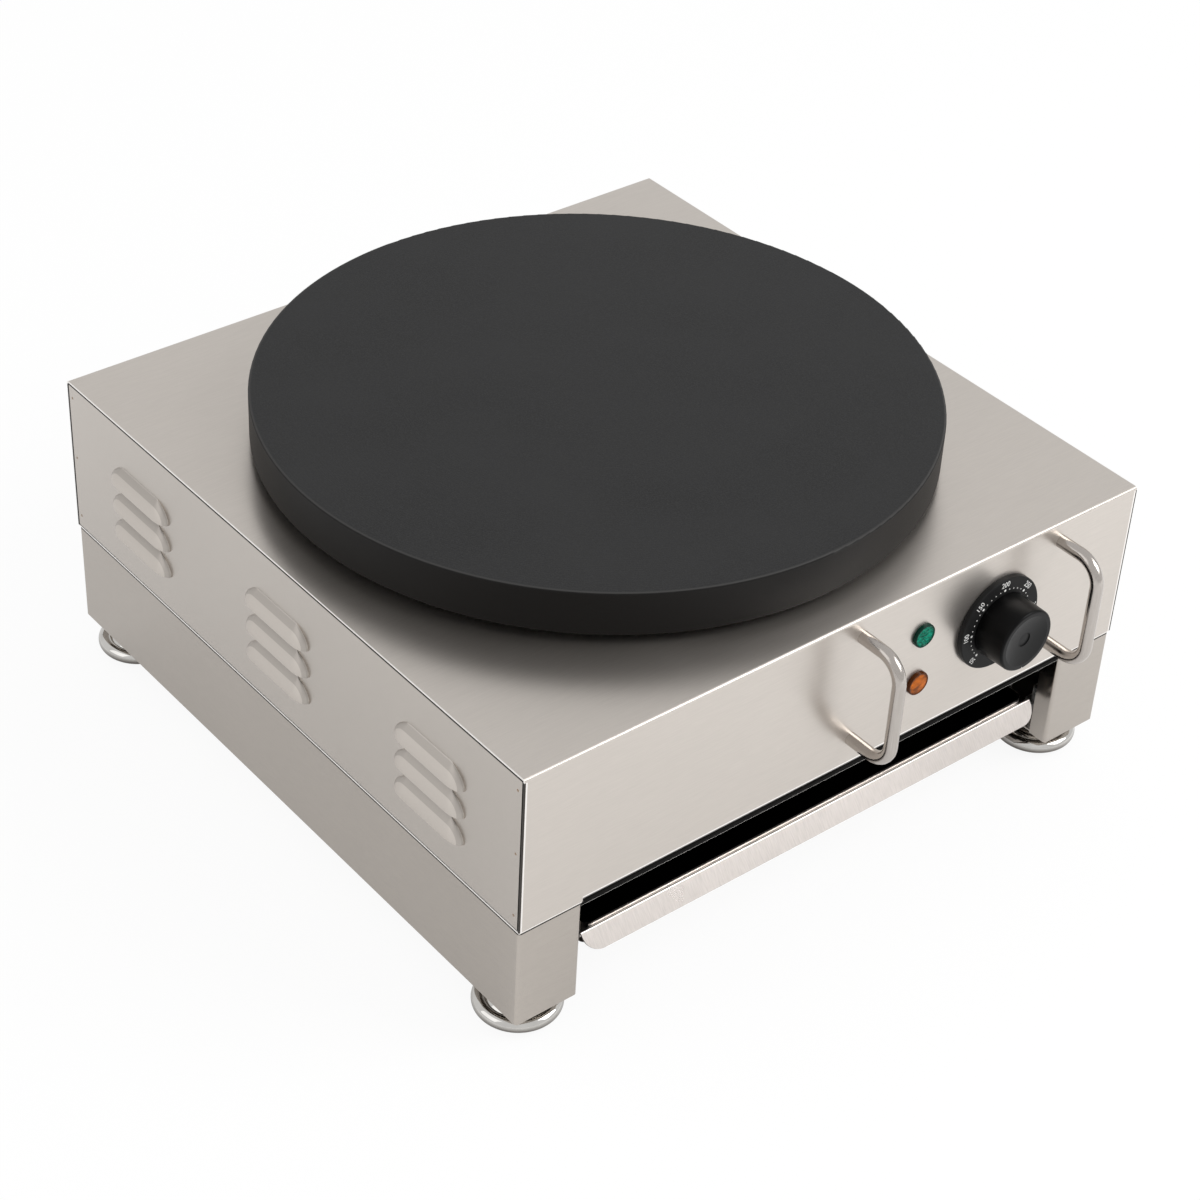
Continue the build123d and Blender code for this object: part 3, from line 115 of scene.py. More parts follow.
class PlateSettings(PropertyGroup):
    """Cast griddle plate."""
    colour: colour_setting("Colour", "Seasoned cast iron", (0.0125, 0.0125, 0.0128))
    # The rim_colour is painted shade: it darkens the plate's outer wall.
    rim_colour: colour_setting("Rim colour", "Bare turned rim", (0.0035, 0.0029, 0.0026))
    # The edge_colour is a painted highlight: a lighter line along the plate's upper edge.
    edge_colour: colour_setting("Edge colour", "Upper edge, rubbed by the spreader", (0.04, 0.039, 0.038))
    roughness: share_setting("Roughness", "Roughness of the cooking face", 0.52)
    turning_pitch: length_setting("Turning pitch", "Pitch of the fine turning marks", 0.0007)


class DialSettings(PropertyGroup):
    """Printed scale round the knob."""
    number_height: length_setting("Number height", "Height of the printed numbers", 0.0037)
    number_ring: length_setting("Number ring", "Radius of the numbers' centres", 0.0268)
    dot_ring: length_setting("Dot ring", "Radius of the dots' centres", 0.0229)
    big_dot: length_setting("Main dot", "Radius of the dot at each number", 0.00085)
    small_dot: length_setting("Small dot", "Radius of the dots between numbers", 0.00042)
    ink: colour_setting("Ink", "Colour of the print", (0.82, 0.82, 0.80))
    black: colour_setting("Ring black", "Moulded scale ring", (0.013, 0.013, 0.0132))
    knob_black: colour_setting("Knob black", "Moulded knob", (0.0015, 0.0015, 0.0016))
    # The knob_face colour is painted light: the same black moulding drawn lighter on the face than on the
    # side.
    knob_face: colour_setting("Knob face", "Front of the knob, rubbed grey", (0.013, 0.013, 0.0132))


class LampSettings(PropertyGroup):
    """Indicator lamps."""
    green: colour_setting("Green lens", "Clear green plastic", (0.0, 0.17, 0.105))
    amber: colour_setting("Amber lens", "Clear amber plastic", (0.42, 0.10, 0.004))
    waffle_pitch: length_setting("Waffle pitch", "Pitch of the green lens's pressed waffle", 0.0024)
    waffle_depth: length_setting("Waffle depth", "Depth of the pressed waffle", 0.0005)


class FootSettings(PropertyGroup):
    """Levelling feet."""
    chrome: colour_setting("Chrome", "Bright plated cups", (0.66, 0.645, 0.62))
    # The tarnish colour is painted shade: it darkens the lower part of each chrome cup.
    tarnish: colour_setting("Tarnish", "Dull foot of the plated cups", (0.16, 0.145, 0.13))
    pad: colour_setting("Pad", "Moulded pads", (0.12, 0.12, 0.12))
    thread_pitch: length_setting("Thread pitch", "Pitch of the foot studs' thread", 0.00125)
    thread_depth: length_setting("Thread depth", "Depth of the foot studs' thread", 0.0006)


class StudioSettings(PropertyGroup):
    """Floor, light and camera."""
    floor: colour_setting("Floor", "Pale studio floor", (0.93, 0.93, 0.93))
    whiteness: share_setting("Whiteness", "Share of pure white in the floor that is seen", 0.92)
    mirrored_whiteness: share_setting("Mirrored whiteness", "The same in reflections", 0.3)
    sky: FloatProperty(name="Sky", description="Strength of the even studio light", default=0.79)
    key: FloatProperty(name="Key lamp", description="Power of the key lamp", default=33.0, unit="POWER")
    fill: FloatProperty(name="Fill lamp", description="Power of the fill lamp", default=5.0, unit="POWER")
    lens: FloatProperty(name="Lens", description="Focal length on a 36 mm sensor", default=84.359,
                        unit="CAMERA")


class CrepeMakerSettings(PropertyGroup):
    """Everything that can be changed."""
    steel: PointerProperty(type=SteelSettings)
    plate: PointerProperty(type=PlateSettings)
    dial: PointerProperty(type=DialSettings)
    lamps: PointerProperty(type=LampSettings)
    feet: PointerProperty(type=FootSettings)
    studio: PointerProperty(type=StudioSettings)


# ---------------------------------------------------------------- material helpers
class Finish:
    """A material in the making, with short ways to add and join nodes."""

    def __init__(self, name, colour, roughness, metallic=0.0):
        self.material = bpy.data.materials.new(name)
        self.material.use_nodes = True
        self.nodes = self.material.node_tree.nodes
        self.links = self.material.node_tree.links
        self.shader = self.nodes["Principled BSDF"]
        self.set("Base Color", (*colour, 1.0))
        self.set("Roughness", roughness)
        self.set("Metallic", metallic)
        self.normal = None

    def set(self, socket, value):
        """Set a value that is the same all over."""
        self.shader.inputs[socket].default_value = value

    def feed(self, output, socket):
        """Join an output to a socket of the shader."""
        self.links.new(output, self.shader.inputs[socket])

    def coordinates(self, stretch=(1.0, 1.0, 1.0), centre=(0.0, 0.0, 0.0)):
        """Object coordinates about a centre, stretched along each axis."""
        source = self.nodes.new("ShaderNodeTexCoord")
        shift = self.nodes.new("ShaderNodeVectorMath")
        shift.operation = "SUBTRACT"
        shift.inputs[1].default_value = centre
        scale = self.nodes.new("ShaderNodeVectorMath")
        scale.operation = "MULTIPLY"
        scale.inputs[1].default_value = stretch
        self.links.new(source.outputs["Object"], shift.inputs[0])
        self.links.new(shift.outputs[0], scale.inputs[0])
        return scale.outputs[0]

    def noise(self, stretch, detail=2.0):
        """Noise with its own frequency along each axis, in cells per metre."""
        texture = self.nodes.new("ShaderNodeTexNoise")
        texture.inputs["Scale"].default_value = 1.0
        texture.inputs["Detail"].default_value = detail
        self.links.new(self.coordinates(stretch), texture.inputs["Vector"])
        return texture.outputs["Fac"]

    def length(self, vector):
        """How long a vector is."""
        length = self.nodes.new("ShaderNodeVectorMath")
        length.operation = "LENGTH"
        self.links.new(vector, length.inputs[0])
        return length.outputs["Value"]

    def inside(self, low, high, blur):
        """Factor that is 1 inside a box and fades to 0 at its walls."""
        centre = (Vector(low) + Vector(high)) / 2
        reach = self.nodes.new("ShaderNodeVectorMath")
        reach.operation = "ABSOLUTE"
        self.links.new(self.coordinates(centre=centre), reach.inputs[0])
        excess = self.nodes.new("ShaderNodeVectorMath")
        excess.operation = "SUBTRACT"
        excess.inputs[1].default_value = (Vector(high) - Vector(low)) / 2
        self.links.new(reach.outputs[0], excess.inputs[0])
        parts = self.nodes.new("ShaderNodeSeparateXYZ")
        self.links.new(excess.outputs[0], parts.inputs[0])
        most = parts.outputs[0]
        for part in parts.outputs[1:]:
            greater = self.nodes.new("ShaderNodeMath")
            greater.operation = "MAXIMUM"
            self.links.new(most, greater.inputs[0])
            self.links.new(part, greater.inputs[1])
            most = greater.outputs[0]
        return self.spread(most, -blur, 0.0, 1.0, 0.0)

    def grain_along(self, direction, amount):
        """Stretch reflections across a grain that runs along a direction of the object."""
        way = self.nodes.new("ShaderNodeVectorTransform")
        way.vector_type = "VECTOR"
        way.convert_from = "OBJECT"
        way.convert_to = "WORLD"
        way.inputs[0].default_value = direction
        self.feed(way.outputs[0], "Tangent")
        self.set("Anisotropic", amount)
        self.set("Anisotropic Rotation", 0.25)

    def rings(self, centre, pitch):
        """Noise that runs in rings about a vertical axis."""
        radius = self.length(self.coordinates((1.0, 1.0, 0.0), centre))
        texture = self.nodes.new("ShaderNodeTexNoise")
        texture.noise_dimensions = "1D"
        texture.inputs["Scale"].default_value = 1.0 / pitch
        texture.inputs["Detail"].default_value = 1.0
        self.links.new(radius, texture.inputs["W"])
        return texture.outputs["Fac"], radius

    def spread(self, value, start, end, low, high):
        """Map a value's range onto another one."""
        ramp = self.nodes.new("ShaderNodeMapRange")
        for socket, number in zip(("From Min", "From Max", "To Min", "To Max"), (start, end, low, high)):
            ramp.inputs[socket].default_value = number
        self.links.new(value, ramp.inputs["Value"])
        return ramp.outputs["Result"]

    def mix(self, factor, first, second):
        """Mix two colours, either of them an output or a plain colour."""
        blend = self.nodes.new("ShaderNodeMix")
        blend.data_type = "RGBA"
        self.links.new(factor, blend.inputs["Factor"])
        for socket, colour in zip((blend.inputs[6], blend.inputs[7]), (first, second)):
            if isinstance(colour, bpy.types.NodeSocket):
                self.links.new(colour, socket)
            else:
                socket.default_value = (*colour, 1.0)
        return blend.outputs[2]

    def bump(self, height, distance, strength=1.0):
        """Add fine relief."""
        relief = self.nodes.new("ShaderNodeBump")
        relief.inputs["Distance"].default_value = distance
        relief.inputs["Strength"].default_value = strength
        self.links.new(height, relief.inputs["Height"])
        if self.normal:
            self.links.new(self.normal, relief.inputs["Normal"])
        self.normal = relief.outputs["Normal"]
        self.feed(self.normal, "Normal")


def shade(colour, factor):
    """A colour made lighter or darker."""
    return tuple(min(1.0, part * factor) for part in colour)


def brushed(name, colour, roughness, stretch, contrast=0.04, brushing=0.0, rim=None, patches=()):
    """Brushed sheet: fine scratches, faint smears, uneven gloss.

    stretch is the scratches' frequency along each axis, contrast how far they differ in tone, and
    brushing how far they stretch a reflection. rim is (low, high, colour): a box, and the colour
    outside it. patches are boxes with the colour inside them, a later one over an earlier one.
    """
    steel = Finish(name, colour, roughness, metallic=1.0)
    grain = steel.noise(stretch, 3.0)
    smears = steel.noise((7.0, 7.0, 7.0), 4.0)
    tone = steel.mix(steel.spread(grain, 0.3, 0.7, 0.0, 1.0),
                     shade(colour, 1.0 - contrast), shade(colour, 1.0 + contrast))
    tone = steel.mix(steel.spread(smears, 0.3, 0.8, 0.0, 0.3), tone, shade(colour, 0.88))
    if rim:
        low, high, other = rim
        tone = steel.mix(steel.inside(low, high, FADE), other, tone)
    for low, high, other in patches:
        tone = steel.mix(steel.inside(low, high, FADE), tone, other)
    steel.feed(tone, "Base Color")
    if brushing:
        steel.grain_along([1.0 if part == min(stretch) else 0.02 for part in stretch], brushing)
    steel.feed(steel.spread(smears, 0.3, 0.7, roughness - 0.03, roughness + 0.04), "Roughness")
    steel.bump(grain, 0.000009)
    return steel


def moulded(name, colour, roughness, grain=0.00001, gloss=0.2, lit_face=None):
    """Moulded plastic with a fine spark-eroded skin.

    disc is (centre, radius, colour): a lighter colour near an axis along Y, painted light on a face.
    """
    skin = Finish(name, colour, roughness)
    skin.set("Specular IOR Level", gloss)
    pores = skin.noise((2600.0, 2600.0, 2600.0), 2.0)
    wear = skin.noise((60.0, 60.0, 60.0), 3.0)
    tone = skin.mix(skin.spread(wear, 0.45, 0.75, 0.0, 1.0), colour, shade(colour, 1.35))
    if lit_face:
        centre, radius, other = lit_face
        away = skin.length(skin.coordinates((1.0, 0.0, 1.0), centre))
        tone = skin.mix(skin.spread(away, radius - 1.0 * MM, radius, 1.0, 0.0), tone, other)
    skin.feed(tone, "Base Color")
    skin.feed(skin.spread(wear, 0.3, 0.7, roughness - 0.05, roughness + 0.06), "Roughness")
    skin.bump(pores, grain)
    return skin.material


def bright_metal(name, colour, roughness, grain=0.000003):
    """Plated or plain metal with a slightly uneven gloss."""
    metal = Finish(name, colour, roughness, metallic=1.0)
    haze = metal.noise((90.0, 90.0, 90.0), 4.0)
    metal.feed(metal.mix(metal.spread(haze, 0.4, 0.8, 0.0, 1.0), colour, shade(colour, 0.9)), "Base Color")
    metal.feed(metal.spread(haze, 0.3, 0.8, roughness, roughness * 1.6 + 0.01), "Roughness")
    metal.bump(metal.noise((900.0, 900.0, 900.0)), grain)
    return metal.material


def two_toned(name, colour, roughness, stretch, detail, tones, relief):
    """Dull stuff that varies between two tones, with relief to match."""
    stuff = Finish(name, colour, roughness)
    grain = stuff.noise(stretch, detail)
    stuff.feed(stuff.mix(grain, *tones), "Base Color")
    stuff.bump(grain, relief)
    return stuff.material


def dress(nodes, material):
    """Give CAD nodes a material through their own slots."""
    for name in nodes:
        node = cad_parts[name]
        if not node.material_slots:
            node.data.materials.append(material)
        for slot in node.material_slots:
            slot.material = material


# ---------------------------------------------------------------- mesh helpers
def lathe(profile, segments, relief=None):
    """Mesh turned about Z from (radius, height) points; relief(x, y) is added to each height."""
    mesh = bmesh.new()
    rings = []
    for radius, height in profile:
        count = segments if radius > 0 else 1
        ring = []
        for index in range(count):
            turn = 2 * pi * index / segments
            x, y = radius * cos(turn), radius * sin(turn)
            ring.append(mesh.verts.new((x, y, height + (relief(x, y) if relief else 0.0))))
        rings.append(ring)
    for first, second in zip(rings, rings[1:]):
        for index in range(segments):
            after = (index + 1) % segments
            corners = [first[index % len(first)], first[after % len(first)],
                       second[after % len(second)], second[index % len(second)]]
            mesh.faces.new(list(dict.fromkeys(corners)))
    bmesh.ops.recalc_face_normals(mesh, faces=mesh.faces)
    return mesh


def arc(centre, radius, start, end, steps):
    """Points on a circle, from one angle to another in degrees."""
    turns = (radians(start + (end - start) * step / steps) for step in range(steps + 1))
    return [(centre[0] + radius * cos(turn), centre[1] + radius * sin(turn)) for turn in turns]


def extruded(section, start, end, name):
    """A closed (y, z) outline drawn out along X, with its ends closed."""
    mesh = bmesh.new()
    rings = [[mesh.verts.new((x, y, z)) for y, z in section] for x in (start, end)]
    for index in range(len(section)):
        after = (index + 1) % len(section)
        mesh.faces.new((rings[0][index], rings[0][after], rings[1][after], rings[1][index]))
    for ring in rings:
        mesh.faces.new(ring)
    bmesh.ops.recalc_face_normals(mesh, faces=mesh.faces)
    return finished(mesh, name)


def finished(mesh, name, place=Matrix()):
    """Turn a bmesh into a mesh, moved into place."""
    data = bpy.data.meshes.new(name)
    mesh.transform(place)
    mesh.to_mesh(data)
    mesh.free()
    return data


def joined(parts, name):
    """One mesh out of several."""
    mesh = bmesh.new()
    for part in parts:
        mesh.from_mesh(part)
        bpy.data.meshes.remove(part)
    return finished(mesh, name)


def add_piece(name, mesh, body, slot, material, sharp=35.0):
    """Put a mesh into the scene on its body, with its finish."""
    for face in mesh.polygons:
        face.use_smooth = True
    mesh.set_sharp_from_angle(angle=radians(sharp))
    mesh.materials.clear()
    mesh.materials.append(material)
    piece = bpy.data.objects.new(name, mesh)
    bpy.context.scene.collection.objects.link(piece)
    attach(piece, body)
    return piece


def carved(mesh, cutters):
    """The mesh with each cutter taken away."""
    for cutter in cutters:
        block, tool = (bpy.data.objects.new("work", data) for data in (mesh, cutter))
        for item in (block, tool):
            bpy.context.scene.collection.objects.link(item)
        cut = block.modifiers.new("cut", "BOOLEAN")
        cut.object = tool
        cut.operation = "DIFFERENCE"
        graph = bpy.context.evaluated_depsgraph_get()
        mesh = bpy.data.meshes.new_from_object(block.evaluated_get(graph))
        for item in (block, tool):
            bpy.data.objects.remove(item)
    return mesh


def bar(size, centre, edge=0.0):
    """A rectangular cutter or inlay with rounded edges."""
    mesh = bmesh.new()
    bmesh.ops.create_cube(mesh, size=1.0)
    mesh.transform(Matrix.Translation(centre) @ Matrix.Diagonal((*size, 1.0)))
    if edge:
        bmesh.ops.bevel(mesh, geom=mesh.edges, offset=edge, segments=3, affect="EDGES", profile=0.5)
    return finished(mesh, "bar")


def printed(text, height, place):
    """Flat raised print of a short text, centred."""
    curve = bpy.data.curves.new("print", "FONT")
    curve.body = text
    cap_share = 0.72
    curve.size = height / cap_share
    curve.align_x = "CENTER"
    curve.align_y = "CENTER"
    curve.extrude = PRINT_THICKNESS
    curve.offset = 0.006 * height
    holder = bpy.data.objects.new("print", curve)
    bpy.context.scene.collection.objects.link(holder)
    graph = bpy.context.evaluated_depsgraph_get()
    mesh = bpy.data.meshes.new_from_object(holder.evaluated_get(graph))
    bpy.data.objects.remove(holder)
    bpy.data.curves.remove(curve)
    mesh.transform(place)
    return mesh


# ---------------------------------------------------------------- operators
class CREPE_OT_sheets(Operator):
    """Brushed steel for the casing, base, deck and tray"""
    bl_idname = "crepe.sheets"
    bl_label = "Sheet steel"

    def execute(self, context):
        steel = context.scene.crepe_maker.steel
        self.casing(steel)
        self.sides(steel)
        self.skirts(steel)
        self.tray(steel)
        self.deck(steel)
        # Guides and corner angles get the inner colour, painted shade for the dark inside.
        dress(["tray_guide_left", "tray_guide_right", "corner_angles"],
              brushed("inner steel", steel.inner, 0.5, (70.0, 1400.0, 1400.0)).material)
        return {"FINISHED"}

    def core(self, name, low_rim, high_rim, colour):
        """The box of a node, less a rim in millimetres on each side, with the colour of that rim."""
        low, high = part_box(name)
        return low + Vector(low_rim) * MM, high - Vector(high_rim) * MM, colour

    def casing(self, steel):
        """Bent sheet of top, front and back, brushed from side to side."""
        # Both side edges of the wrap get cut_edge, a painted highlight; the patches add painted shade and
        # highlights at the bend and seams.
        ends = (0.2, NO_RIM, NO_RIM)
        sheet = brushed("casing steel", steel.casing, steel.roughness + 0.05, (70.0, 1500.0, 1500.0),
                        contrast=0.03, brushing=steel.brushing,
                        rim=self.core("cover_wrap", ends, ends, steel.cut_edge),
                        patches=self.folds(steel) + self.seams(steel))
        sheet.set("Metallic", 0.955)
        dress(["cover_wrap"], sheet.material)

    def folds(self, steel):
        """Bend between top and front painted darker than the flats, a painted shade that tones down its
        highlight, and a painted highlight along the front's lower edge over the tray's mouth.
        """
        reach = 1.0 * MM
        # Painted shade on the bend, to tone down its highlight.
        fold_shade = ((-FAR, WRAP_LOW.y - reach, WRAP_HIGH.z - reach),
                (FAR, WRAP_LOW.y + reach, WRAP_HIGH.z + reach), shade(steel.casing, 0.64))
        # Painted highlight along the front's lower edge.
        depth, height = 1.5 * MM, 3.4 * MM
        edge = ((-MOUTH_HALF, WRAP_LOW.y - reach, WRAP_LOW.z),
                (MOUTH_HALF, WRAP_LOW.y + depth, WRAP_LOW.z + height), steel.cut_edge)
        return [fold_shade, edge]

    def seams(self, steel):
        """Upright ends of the front and back sheet: a painted highlight line, and a painted shadow along the
        edge.
        """
        top = WRAP_HIGH.z - 2.0 * MM
        bands = []
        # A painted highlight band, then a painted shadow band at the very edge.
        for near, far, colour in ((2.0, 0.9, steel.cut_edge), (0.9, -1.0, steel.seam_edge)):
            for side in (-1, 1):
                ends = sorted(side * (WRAP_HIGH.x - reach * MM) for reach in (near, far))
                bands.append(((ends[0], -FAR, -FAR), (ends[1], FAR, top), colour))
        return bands

    def sides(self, steel):
        """Louvred panels, brushed from front to back, glossier where they are flat."""
        flatness = 0.3 * MM
        flat = ((WRAP_LOW.x - flatness, -FAR, -FAR), (WRAP_HIGH.x + flatness, FAR, FAR))
        for side in ("left", "right"):
            name = f"cover_side_{side}"
            # Ends and edges of each panel get seam_edge, a painted shadow where they meet the casing and
            # base.
            rim = self.core(name, (NO_RIM, 0.15, 0.85), (NO_RIM, 0.15, 0.55), steel.seam_edge)
            panel = brushed(f"{side} side steel", steel.side, steel.roughness, (1200.0, 110.0, 1200.0),
                            contrast=0.025, brushing=steel.brushing, rim=rim, patches=self.hoods(steel))
            smooth = panel.inside(*flat, 0.2 * MM)
            panel.feed(panel.spread(smooth, 0.0, 1.0, 0.5, steel.roughness), "Roughness")
            dress([name], panel.material)

    def hoods(self, steel):
        """Pressed louvres: painted shade where they rise from the panel, painted highlight where they stand
        farthest out.
        """
        bands = []
        # Painted shade from 0.4 mm out, painted highlight from 3.1 mm out.
        for proud, tone in ((0.4, 0.86), (3.1, 1.1)):
            colour = shade(steel.side, tone)
            bands.append(((-FAR, -FAR, -FAR), (WRAP_LOW.x - proud * MM, FAR, FAR), colour))
            bands.append(((WRAP_HIGH.x + proud * MM, -FAR, -FAR), (FAR, FAR, FAR), colour))
        return bands

    def skirts(self, steel):
        """Sides and back of the base, each with a painted shadow along its upper edge under the casing."""
        for name in ("base_side_left", "base_side_right", "base_back"):
            rim = self.core(name, (NO_RIM, NO_RIM, NO_RIM), (NO_RIM, NO_RIM, 0.7), steel.seam_edge)
            skirt = brushed(f"{name} steel", steel.base, 0.17, (110.0, 110.0, 1200.0),
                            contrast=0.025, rim=rim)
            dress([name], skirt.material)

    def tray(self, steel):
        """Outside and lip in the tray's steel, painted shade inside, a painted shadow behind the lip's ridge
        and a painted highlight on the ledge below it.
        """
        low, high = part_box("drip_tray")
        hair, wall, front = 0.5 * MM, 4.0 * MM, low.y + 10.5 * MM
        above, rim, ledge = high.z + 1.0 * MM, high.z - 1.4 * MM, high.z - 2.9 * MM
        # Painted shade over the inside of the tray.
        film = ((low.x + wall, front, low.z + hair), (high.x - wall, high.y - hair, above), steel.soot)
        # Painted shadow behind the ridge of the lip.
        dark = ((low.x + hair, low.y + 8.7 * MM, rim), (high.x - hair, low.y + 11.0 * MM, above),
                shade(steel.soot, 0.3))
        # Painted highlight on the ledge under that shadow.
        painted_highlight = ((-FAR, low.y + 9.4 * MM, ledge), (FAR, front, rim), steel.cut_edge)
        sheet = brushed("tray steel", steel.tray, steel.roughness + 0.04, (1300.0, 130.0, 130.0),
                        contrast=0.09, patches=[film, dark, painted_highlight])
        dress(["drip_tray"], sheet.material)

    def deck(self, steel):
        """Darkened as painted shade, with a painted highlight on its edges that shows in the casing's lower
        seam.
        """
        ends = (1.0, 1.2, NO_RIM)
        low, high, painted_highlight = self.core("deck_plate", ends, ends, steel.cut_edge)
        # Painted shade over the deck's front edge where it lies over the tray's mouth.
        mouth = ((-MOUTH_HALF, -FAR, -FAR), (MOUTH_HALF, WRAP_LOW.y + 5.0 * MM, FAR), steel.inner)
        sheet = brushed("deck steel", steel.inner, 0.4, (70.0, 1400.0, 1400.0),
                        contrast=0.08, rim=(low, high, painted_highlight), patches=[mouth])
        sheet.feed(sheet.spread(sheet.inside(low, high, FADE), 0.0, 1.0, 0.4, 1.0), "Metallic")
        dress(["deck_plate"], sheet.material)


class CREPE_OT_hem(Operator):
    """Folded strip under the deck's front edge, above the tray"""
    bl_idname = "crepe.hem"
    bl_label = "Hem of the deck"

    def execute(self, context):
        steel = context.scene.crepe_maker.steel
        clearance, setback = 0.02 * MM, 1.3 * MM
        sheet, drop, run, bend = 0.8 * MM, 2.9 * MM, 8.0 * MM, 1.2 * MM
        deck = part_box("deck_plate")[0].z - clearance
        front = WRAP_LOW.y + setback
        foot = deck - drop
        section = [(front + run, deck), (front + run, deck - sheet), (front + sheet, deck - sheet)]
        section += arc((front + sheet / 2, foot), sheet / 2, 0.0, -180.0, 10)
        section += arc((front + bend, deck - bend), bend, 180.0, 90.0, 8)
        half = MOUTH_HALF - 0.7 * MM
        # Painted highlight along the hem's lower bend; the rest of the strip is painted shade from the soot
        # colour.
        hem_highlight = ((-FAR, -FAR, foot - sheet), (FAR, FAR, foot), steel.cut_edge)
        strip = brushed("hem steel", shade(steel.soot, 0.25), 0.5, (70.0, 1400.0, 1400.0),
                        contrast=0.08, patches=[hem_highlight])
        strip.set("Metallic", 0.0)
        strip.set("Specular IOR Level", 0.05)
        mesh = extruded(section, -half, half, "deck_hem")
        add_piece("deck_hem", mesh, "cabinet", "inner_steel", strip.material)
        return {"FINISHED"}


class CREPE_OT_welds(Operator):
    """Heat-tinted spot welds near the ends of the side panels"""
    bl_idname = "crepe.welds"
    bl_label = "Spot welds"

    def execute(self, context):
        tint = context.scene.crepe_maker.steel.weld_tint
        radius, crown, inset = 0.9 * MM, 0.1 * MM, 5.2 * MM
        profile = [(0.0, crown * 0.3), (radius * 0.55, crown * 0.4), (radius * 0.8, crown), (radius, 0.0)]
        top, low = WRAP_HIGH.z - 10.0 * MM, WRAP_LOW.z + 9.5 * MM
        marks = []
        for side in (-1, 1):
            face = side * (WRAP_HIGH.x - 0.01 * MM)
            turn = Matrix.Rotation(side * radians(90), 4, "Y")
            for y in (WRAP_LOW.y + inset, WRAP_HIGH.y - inset):
                for z in (top, (top + low) / 2, low):
                    place = Matrix.Translation((face, y, z)) @ turn
                    marks.append(finished(lathe(profile, 20), "weld", place))
        welded = Finish("heat tinted weld", tint, 0.45, metallic=0.8)
        spots = welded.noise((900.0, 900.0, 900.0), 3.0)
        welded.feed(welded.mix(spots, shade(tint, 0.7), shade(tint, 1.5)), "Base Color")
        welded.bump(spots, 0.00003)
        add_piece("spot_welds", joined(marks, "spot_welds"), "cabinet", "side_steel", welded.material)
        return {"FINISHED"}


class CREPE_OT_griddle(Operator):
    """Seasoned cast iron for the griddle plate and what closes its underside"""
    bl_idname = "crepe.griddle"
    bl_label = "Griddle plate"

    def execute(self, context):
        plate = context.scene.crepe_maker.plate
        iron = Finish("seasoned iron", plate.colour, plate.roughness)
        iron.set("Specular IOR Level", 0.2)
        turning, radius = iron.rings(PLATE_CENTRE, plate.turning_pitch)
        patches = iron.noise((16.0, 16.0, 16.0), 4.0)
        pores = iron.noise((1500.0, 1500.0, 1500.0), 3.0)
        face = iron.mix(iron.spread(patches, 0.35, 0.7, 0.0, 1.0), plate.colour, shade(plate.colour, 1.5))
        face = iron.mix(iron.spread(pores, 0.4, 0.7, 0.0, 1.0), face, shade(plate.colour, 1.9))
        # Painted highlight along the plate's upper edge.
        edge_light = iron.spread(radius, PLATE_HIGH.x - 1.8 * MM, PLATE_HIGH.x - 0.9 * MM, 0.0, 1.0)
        face = iron.mix(edge_light, face, plate.edge_colour)
        # Painted shade on the plate's outer wall.
        rim = iron.spread(radius, PLATE_HIGH.x - 0.6 * MM, PLATE_HIGH.x - 0.25 * MM, 0.0, 1.0)
        iron.feed(iron.mix(rim, face, plate.rim_colour), "Base Color")
        iron.feed(iron.spread(patches, 0.3, 0.7, plate.roughness - 0.02, plate.roughness + 0.03), "Roughness")
        iron.bump(turning, 0.00003)
        iron.bump(pores, 0.00006)
        dress(["griddle_plate"], iron.material)
        dress(["closing_pan", "element_clamp"],
              brushed("pan sheet", (0.16, 0.155, 0.15), 0.5, (900.0, 14.0, 14.0)).material)
        return {"FINISHED"}


class CREPE_OT_heating(Operator):
    """Heaters, mat, spacers, sensor and terminals, and their fasteners"""
    bl_idname = "crepe.heating"
    bl_label = "Heating parts"

    def execute(self, context):
        dress(["outer_element", "inner_element"], bright_metal("heater sheath", (0.20, 0.19, 0.18), 0.45))
        dress(["insulation_mat"],
              two_toned("mineral wool", (0.55, 0.52, 0.46), 0.95, (1800.0, 300.0, 1800.0), 5.0,
                        ((0.40, 0.37, 0.32), (0.66, 0.63, 0.57)), 0.0008))
        zinc = bright_metal("zinc plate", (0.58, 0.58, 0.57), 0.28)
        dress(["plate_spacers", "plate_studs", "plate_nuts", "clamp_screw", "thermostat_screws", "lamp_clips",
               "handle_screws", "gland_nut", "deck_screws", "foot_nuts", "thermal_cutout"], zinc)
        dress(["sensor_bulb"], bright_metal("copper", (0.62, 0.33, 0.20), 0.3))
        dress(["earth_terminal", "terminal_screws"], bright_metal("brass", (0.70, 0.52, 0.25), 0.25))
        return {"FINISHED"}


